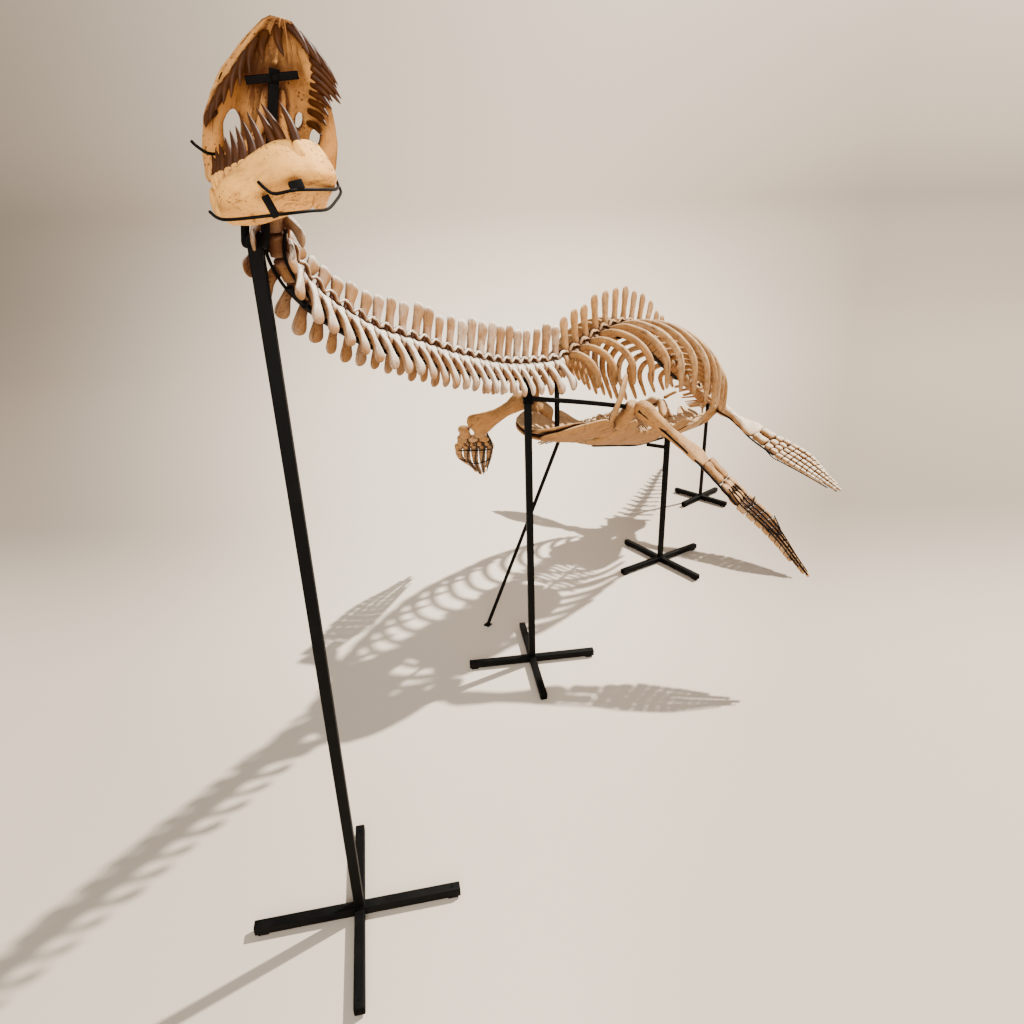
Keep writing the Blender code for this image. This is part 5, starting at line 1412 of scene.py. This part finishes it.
def stand_piece(key):
    centre, turn, reach, top, tube = STANDS[key]
    half = 0.5 * FOOT_TUBE
    level = FOOT_PAD + half
    pile = Pile()
    ends = [turned(centre, turn, along, 0, level) for along in (-reach, reach)]
    box_tube(pile, *ends, half, half, UPRIGHT)
    for sign in (1, -1):
        box_tube(pile, turned(centre, turn, 0, sign * (half - 0.002), level),
                 turned(centre, turn, 0, sign * reach, level), half, half, UPRIGHT)
    glide = 0.5 * FOOT_PAD + 0.002
    for quarter in range(4):
        at = turn + 90 * quarter
        cap = [turned(centre, at, along, 0, level) for along in (reach - 0.004, reach)]
        box_tube(pile, *cap, half - 0.0006, half - 0.0006, UPRIGHT)
        pad = reach - 0.031
        ends = [turned(centre, at, along, 0, glide) for along in (pad - 0.021, pad + 0.021)]
        box_tube(pile, *ends, glide, 0.016, UPRIGHT, corner=0.3)
        bolt(pile, turned(centre, at, pad, 0, FOOT_PAD + FOOT_TUBE - 0.002), UPRIGHT, 0.006, 0.004)
    middle = np.array([centre[0], centre[1], 0.0])
    arm = turned((0.0, 0.0), turn, 1.0, 0.0, 0.0)
    floor_top = FOOT_PAD + FOOT_TUBE
    for low, high, thick, corner in (
        (floor_top + JOINT_GAP, top, 0.5 * tube, 0.16),
        (floor_top - 0.004, floor_top + 0.006, 0.5 * tube + 0.004, 0.3),
    ):
        box_tube(pile, middle + low * UPRIGHT, middle + high * UPRIGHT, thick, thick, arm, corner)
    pile.finish(f"{key}_stand", STEEL, "steel", [f"stand_foot_{key}", f"stand_rod_{key}"])


for stand_key in STANDS:
    stand_piece(stand_key)

# %% [markdown]
# ## Rails, bars and wires
#
# Flat rails follow the underside of the neck and back, bolted at the joints, and a bar with
# clamps ties the shoulder stand to both shoulder sockets. They are smooth-cornered bars along the
# backbone's own line. Thin wires follow the fingers, a little proud of the bones.

# %% Rails under the backbone
LEFTWARD = np.array((0.0, 1.0, 0.0))
RAIL_SHARE = 0.866


def frames_at(s):
    """Points on the backbone with their left and up directions, one row each."""
    point, _, left, up = (np.array(v) for v in zip(*[spine_frame(float(x)) for x in s]))
    return point, left, up


def under_rail(pile, joints, half_width, thick):
    """Flat bar under the backbone, off it by RAIL_SHARE of its radius, with a bolt at every
    second joint."""
    s = np.linspace(joints[0], joints[-1], 60)
    point, left, up = frames_at(s)
    path = point - (RAIL_SHARE * centrum_radius(s)[:, None] + JOINT_GAP + 0.5 * thick) * up
    pile.tube(carried(path, half_width, 0.5 * thick, left[30], 16, 0.25), 0.5)
    for x in joints[1:-1:2]:
        point, _, _, up = spine_frame(float(x))
        low = point - (RAIL_SHARE * float(centrum_radius(x)) + thick) * up
        bolt(pile, low, -up, 0.0055, 0.005)


def rails_piece():
    for index, (first, last) in enumerate(((3, 11), (11, 18), (18, 22)), 1):
        pile = Pile()
        under_rail(pile, neck_joint(np.arange(first, last + 1)), 0.009, 0.014)
        pile.finish(f"neck_rail_{index}", STEEL, "steel", [f"stand_neck_rail_{index}"])
    s = np.linspace(0.05, 0.95, 50)
    point, left, up = frames_at(s)
    radius = centrum_radius(s)[:, None]
    pile = Pile()
    for side in (1, -1):
        line = point - 0.78 * radius * up + side * 0.80 * radius * left
        round_wire(pile, line[::4], 0.0050, rings=80)
    pile.finish("neck_wires", WIRE, "steel")
    pile = Pile()
    under_rail(pile, [NECK_ARC + k * TRUNK_PITCH for k in range(6, 17)], 0.012, 0.016)
    pile.finish("back_rail", STEEL, "steel", ["stand_back_rail"])
    pile = Pile()
    stops = (-0.80, -1.15, -1.50, -1.85, -2.20, -2.40)
    keel = [(x, 0.0, float(belly(x, 0.0)) - 0.026) for x in stops]
    flat_bar(pile, keel, 0.012, 0.006, LEFTWARD, rings=60)
    pile.finish("belly_rail", STEEL, "steel", ["stand_belly_rail"])


rails_piece()


# %% Fork, palate bar and jaw wires
PALATE_BAR = ((0.002, 0.0, 0.008), (0.080, -0.001, 0.010), (0.200, -0.003, 0.014), (0.278, -0.004, 0.016))
PALATE_CROSS = ((0.240, -0.066, 0.010), (0.256, -0.018, 0.010), (0.278, 0.048, 0.010))
LOWER_CRADLE = (
    (0.190, -0.160, -0.084), (0.235, -0.151, -0.114), (0.280, -0.130, -0.136),
    (0.300, -0.050, -0.145), (0.285, 0.030, -0.141), (0.225, 0.085, -0.122),
    (0.150, 0.128, -0.080), (0.100, 0.156, -0.046), (0.085, 0.160, -0.028),
)
UPPER_CRADLE = (
    (0.322, -0.060, -0.083), (0.326, -0.050, -0.100), (0.326, -0.034, -0.112),
    (0.322, 0.009, -0.108), (0.280, 0.072, -0.098), (0.215, 0.116, -0.078),
    (0.150, 0.142, -0.048), (0.120, 0.148, -0.022), (0.118, 0.144, -0.008),
)
SIDE_HOOK = ((0.104, -0.104, 0.070), (0.116, -0.124, 0.070), (0.122, -0.142, 0.084), (0.122, -0.150, 0.096))
FORK_PRONG = ((0.000, 0.3, 0.008), (0.000, 0.9, 0.012), (-0.004, 1.0, 0.030), (-0.010, 1.0, 0.062))


def head_steel():
    base = np.array((*STANDS["head"][0], 2.474))
    neck_hold = spine_at(0.075)
    under = neck_hold - 0.042 * unit(neck_hold - base)
    pile = Pile()
    flat_bar(pile, [base, base + (-0.006, 0.0, 0.022), under], np.linspace(0.022, 0.013, 20), 0.018,
             LEFTWARD, rings=20)
    for side in (1, -1):
        prong = [base + (ahead, 0.040 * side * share, rise) for ahead, share, rise in FORK_PRONG]
        flat_bar(pile, prong, 0.008, 0.009, (0.9, 0.1, 0.1), rings=24)
    pile.finish("head_fork", STEEL, "steel", ["stand_head_fork"])

    pile = Pile()
    flat_bar(pile, skull_points(PALATE_BAR), 0.0115, 0.006, HEAD_LEFT, rings=30)
    flat_bar(pile, skull_points(PALATE_CROSS), 0.0085, 0.007, SNOUT, rings=20)
    bolt(pile, in_skull(0.262, -0.004, 0.003), FACE, 0.0085, 0.008)
    pile.finish("palate_bar", STEEL, "steel", ["stand_palate_bar"])

    pile = Pile()
    for route, rings in ((LOWER_CRADLE, 80), (UPPER_CRADLE, 80), (SIDE_HOOK, 20)):
        round_wire(pile, jaw_points(route), 0.0036, rings, sides=10)
    box_tube(pile, in_jaw(0.318, 0.000, -0.100), in_jaw(0.318, 0.030, -0.096), 0.010, 0.006, JAW_UP)
    box_tube(pile, in_jaw(0.300, -0.052, -0.104), in_jaw(0.300, -0.040, -0.150), 0.008, 0.005, JAW_LEFT)
    pile.finish("jaw_wires", WIRE, "steel", ["stand_jaw_wire"])


head_steel()


# %% Shoulder bars, keel bar, belly arm and prop
def middle_steel():
    clamp = np.array((0.0, 0.0, 1.668))
    arm = turned((0.0, 0.0), STANDS["shoulder"][1], 1.0, 0.0, 0.0)
    for name in ("left", "right"):
        socket, outward = socket_at(f"fore_{name}")
        end = socket - 0.055 * outward + (0.020, 0.0, -0.050)
        away = unit(end - clamp)
        bar = [clamp + 0.02 * away, 0.5 * (clamp + end) + (0, 0, 0.004), end]
        pile = Pile()
        flat_bar(pile, bar, 0.013, 0.012, UPRIGHT)
        box_tube(pile, clamp + (0, 0, -0.030), clamp + (0, 0, 0.030), 0.024, 0.024, arm, corner=0.2)
        bolt(pile, clamp + 0.023 * away + (0, 0, 0.016), away, 0.007, 0.007)
        pile.finish(f"shoulder_bar_{name}", STEEL, "steel", [f"stand_shoulder_bar_{name}"])
    pile = Pile()
    low_z = float(belly(-0.320, 0.0)) + 0.046
    box_tube(pile, (-0.320, 0.0, low_z), (-0.320, 0.0, 1.752), 0.018, 0.008, AHEAD)
    for z in (low_z + 0.03, 1.72):
        bolt(pile, (-0.320, 0.008, z), LEFTWARD, 0.006, 0.005)
    pile.finish("keel_bar", STEEL, "steel", ["stand_keel_bar"])
    x, y = STANDS["belly"][0]
    level = float(belly(x, 0.0)) - 0.040
    pile = Pile()
    box_tube(pile, (x, 0.012, level), (x, y - 0.018, level), 0.012, 0.012, AHEAD)
    pile.finish("belly_arm", STEEL, "steel", ["stand_belly_arm"])
    foot = np.array((-0.215, -0.484, 0.0))
    head = np.array((-0.430, -0.050, float(belly(-0.43, 0.05)) - 0.020))
    pile = Pile()
    round_wire(pile, [foot + (0, 0, 0.006), 0.5 * (foot + head), head], 0.0115, rings=16, sides=18)
    box_tube(pile, foot + (-0.022, 0, 0.004), foot + (0.022, 0, 0.004), 0.004, 0.022, UPRIGHT, corner=0.3)
    pile.finish("prop", STEEL, "steel", ["stand_prop"])


middle_steel()


# %% Wires along the paddles
FINGER_WIRE = 0.0043
CROSS_WIRE = 0.0038
LIMB_ROD = 0.0070
EYE_PLAN = np.array((3.06, 1.89, 2.50))


def paddle_wires():
    """Wires lie between the fingers, off the flat face that looks to the front."""
    for key, limb in PADDLES.items():
        wrist, tip, elbow, head = (np.array(limb[name]) for name in ("wrist", "tip", "elbow", "head"))
        _, across, face = limb_axes(wrist, tip, limb["chord"])
        shown = 1.0 if key.startswith("fore") else -1.0
        face = face * np.sign(np.dot(face, EYE_PLAN - wrist)) * shown
        lines = [finger_line(limb, k) for k in range(5)]
        count = len(lines[0])
        aside = np.linspace(0.045, 0.012, count)[:, None] * across
        proud = np.linspace(0.024, 0.011, count)[:, None] * face
        pile = Pile()
        for first, second in zip(lines[:-1], lines[1:]):
            between = 0.5 * (first + second) + aside
            back = 0.35 * elbow + 0.65 * wrist + 0.8 * (between[0] - wrist) + 0.026 * face
            round_wire(pile, [back, *(between + proud)[::6]], FINGER_WIRE, rings=50)
        for share in (0.10, 0.52):
            at = [line[int(share * (count - 1))] for line in lines]
            ends = [at[0] + 0.10 * (at[0] - at[1]), *at, at[-1] + 0.10 * (at[-1] - at[-2])]
            lift = (0.028 - 0.014 * share) * face
            round_wire(pile, [point + lift for point in ends], CROSS_WIRE, rings=30)
        rod = [head + 0.10 * (elbow - head) + 0.058 * across, 0.5 * (head + elbow) + 0.054 * across,
               elbow + 1.05 * limb["sizes"][1] * across, wrist + 1.02 * limb["sizes"][2] * across]
        round_wire(pile, rod, LIMB_ROD, sides=10)
        pile.finish(f"paddle_wires_{key}", WIRE, "steel")


paddle_wires()

# %% [markdown]
# ## Room and light
#
# The photograph was taken in a pale studio. A floor that curves up into a wall, far behind, has
# no horizon line. One strong soft light from high behind the animal throws the shadows towards
# us, and a broad weak one from the front keeps the near side warm and readable.

# %% Floor and wall as one sheet
def backdrop():
    """A level line that turns up in a quarter circle, carried sideways; its paper has painted shade and a
    painted pool of light.
    """
    finish = Finish("studio_paper", specular=0.1)
    cloud = finish.noise(0.6, 3.0)
    look = Euler(CAMERA_TURN).to_matrix() @ Vector((0.0, 0.0, -1.0))
    away = unit(np.array((look.x, look.y, 0.0)))
    aside = np.array((-away[1], away[0], 0.0))

    def reach_of(direction):
        return finish.facing(direction, finish.place) - float(np.dot(direction, CAMERA_PLACE))

    depth = reach_of(away)
    to_side = depth.math("DIVIDE", reach_of(aside), depth)
    height = reach_of(UPRIGHT) + float(CAMERA_PLACE[2])
    # Painted shade darkens the paper towards both sides, more far off and low down; a painted pool of light
    # brightens it from a few metres out, away from the sides.
    sideways = (to_side.step(0.10, 0.80) + 1.25 * (0.0 - to_side).step(0.0, 0.70)).clipped()
    far = depth.step(3.4, 6.2) * (1.0 - 0.75 * height.step(0.8, 5.0))
    colour = finish.blend(cloud, (0.585, 0.498, 0.404), (0.615, 0.527, 0.432))
    colour = finish.blend(depth.step(2.2, 4.6) * (1.0 - sideways) * 0.8, colour, (0.790, 0.690, 0.575))
    colour = finish.blend(sideways * (0.22 + 0.78 * far), colour, (0.250, 0.205, 0.160))
    finish.surface(colour, 0.9, cloud, 0.02, 0.001)
    turn = np.linspace(0.0, 0.5 * math.pi, 24)
    radius = 3.0
    reach = np.concatenate([[-9.0], radius * np.sin(turn) + 9.0, [9.0 + radius]])
    rise = np.concatenate([[0.0], radius * (1.0 - np.cos(turn)), [9.0]])
    across = np.linspace(-16.0, 16.0, 9)
    grid = reach[:, None, None] * away + across[None, :, None] * aside + rise[:, None, None] * UPRIGHT
    mesh = bpy.data.meshes.new("studio_sheet")
    rows, columns = grid.shape[:2]
    index = np.arange(rows * columns).reshape(rows, columns)
    faces = np.stack([index[:-1, 1:], index[:-1, :-1], index[1:, :-1], index[1:, 1:]], -1).reshape(-1, 4)
    mesh.from_pydata(grid.reshape(-1, 3).tolist(), [], faces.tolist())
    mesh.shade_smooth()
    mesh.materials.append(finish.material)
    sheet = bpy.data.objects.new("studio_sheet", mesh)
    bpy.context.scene.collection.objects.link(sheet)


CAMERA_PLACE = PLAN_ORIGIN + (3.0645, 1.8898, 2.5050)
CAMERA_TURN = (1.1785, 0.0263, 2.1403)
CAMERA_LENS = 24.089
backdrop()


# %% Lights
def soft_lamp(name, place, target, size, power, colour):
    light = bpy.data.lights.new(name, "AREA")
    light.shape = "DISK"
    light.size = size
    light.energy = power
    light.color = colour
    lamp = bpy.data.objects.new(name, light)
    bpy.context.scene.collection.objects.link(lamp)
    lamp.location = place
    lamp.rotation_euler = (Vector(target) - Vector(place)).to_track_quat("-Z", "Y").to_euler()


SHADOW_AZIMUTH = math.radians(-28.0)
SUN_HEIGHT = math.radians(50.0)
sun_way = np.array((
    -math.cos(SHADOW_AZIMUTH) * math.cos(SUN_HEIGHT), -math.sin(SHADOW_AZIMUTH) * math.cos(SUN_HEIGHT),
    math.sin(SUN_HEIGHT),
))
middle = np.array((0.0, 0.0, 1.2))
soft_lamp("key_light", middle + 24.0 * sun_way, middle, 0.52, 21500.0, (1.0, 0.955, 0.89))
soft_lamp("fill_light", (7.5, 4.5, 4.2), middle, 5.0, 640.0, (1.0, 0.95, 0.88))
world = bpy.data.worlds.new("studio_air")
world.use_nodes = True
world.node_tree.nodes["Background"].inputs["Color"].default_value = (0.90, 0.86, 0.81, 1.0)
world.node_tree.nodes["Background"].inputs["Strength"].default_value = 0.58
bpy.context.scene.world = world

# %% [markdown]
# ## Camera
#
# The eye is at standing height in front and to the left of the animal, close to the head, with a
# wide lens, so the head stand looms and the tail falls away.

# %% Camera
camera_data = bpy.data.cameras.new("eye")
camera_data.sensor_width = 36.0
camera_data.lens = CAMERA_LENS
camera_data.clip_end = 100.0
camera = bpy.data.objects.new("eye", camera_data)
bpy.context.scene.collection.objects.link(camera)
camera.location = CAMERA_PLACE
camera.rotation_euler = CAMERA_TURN
bpy.context.scene.camera = camera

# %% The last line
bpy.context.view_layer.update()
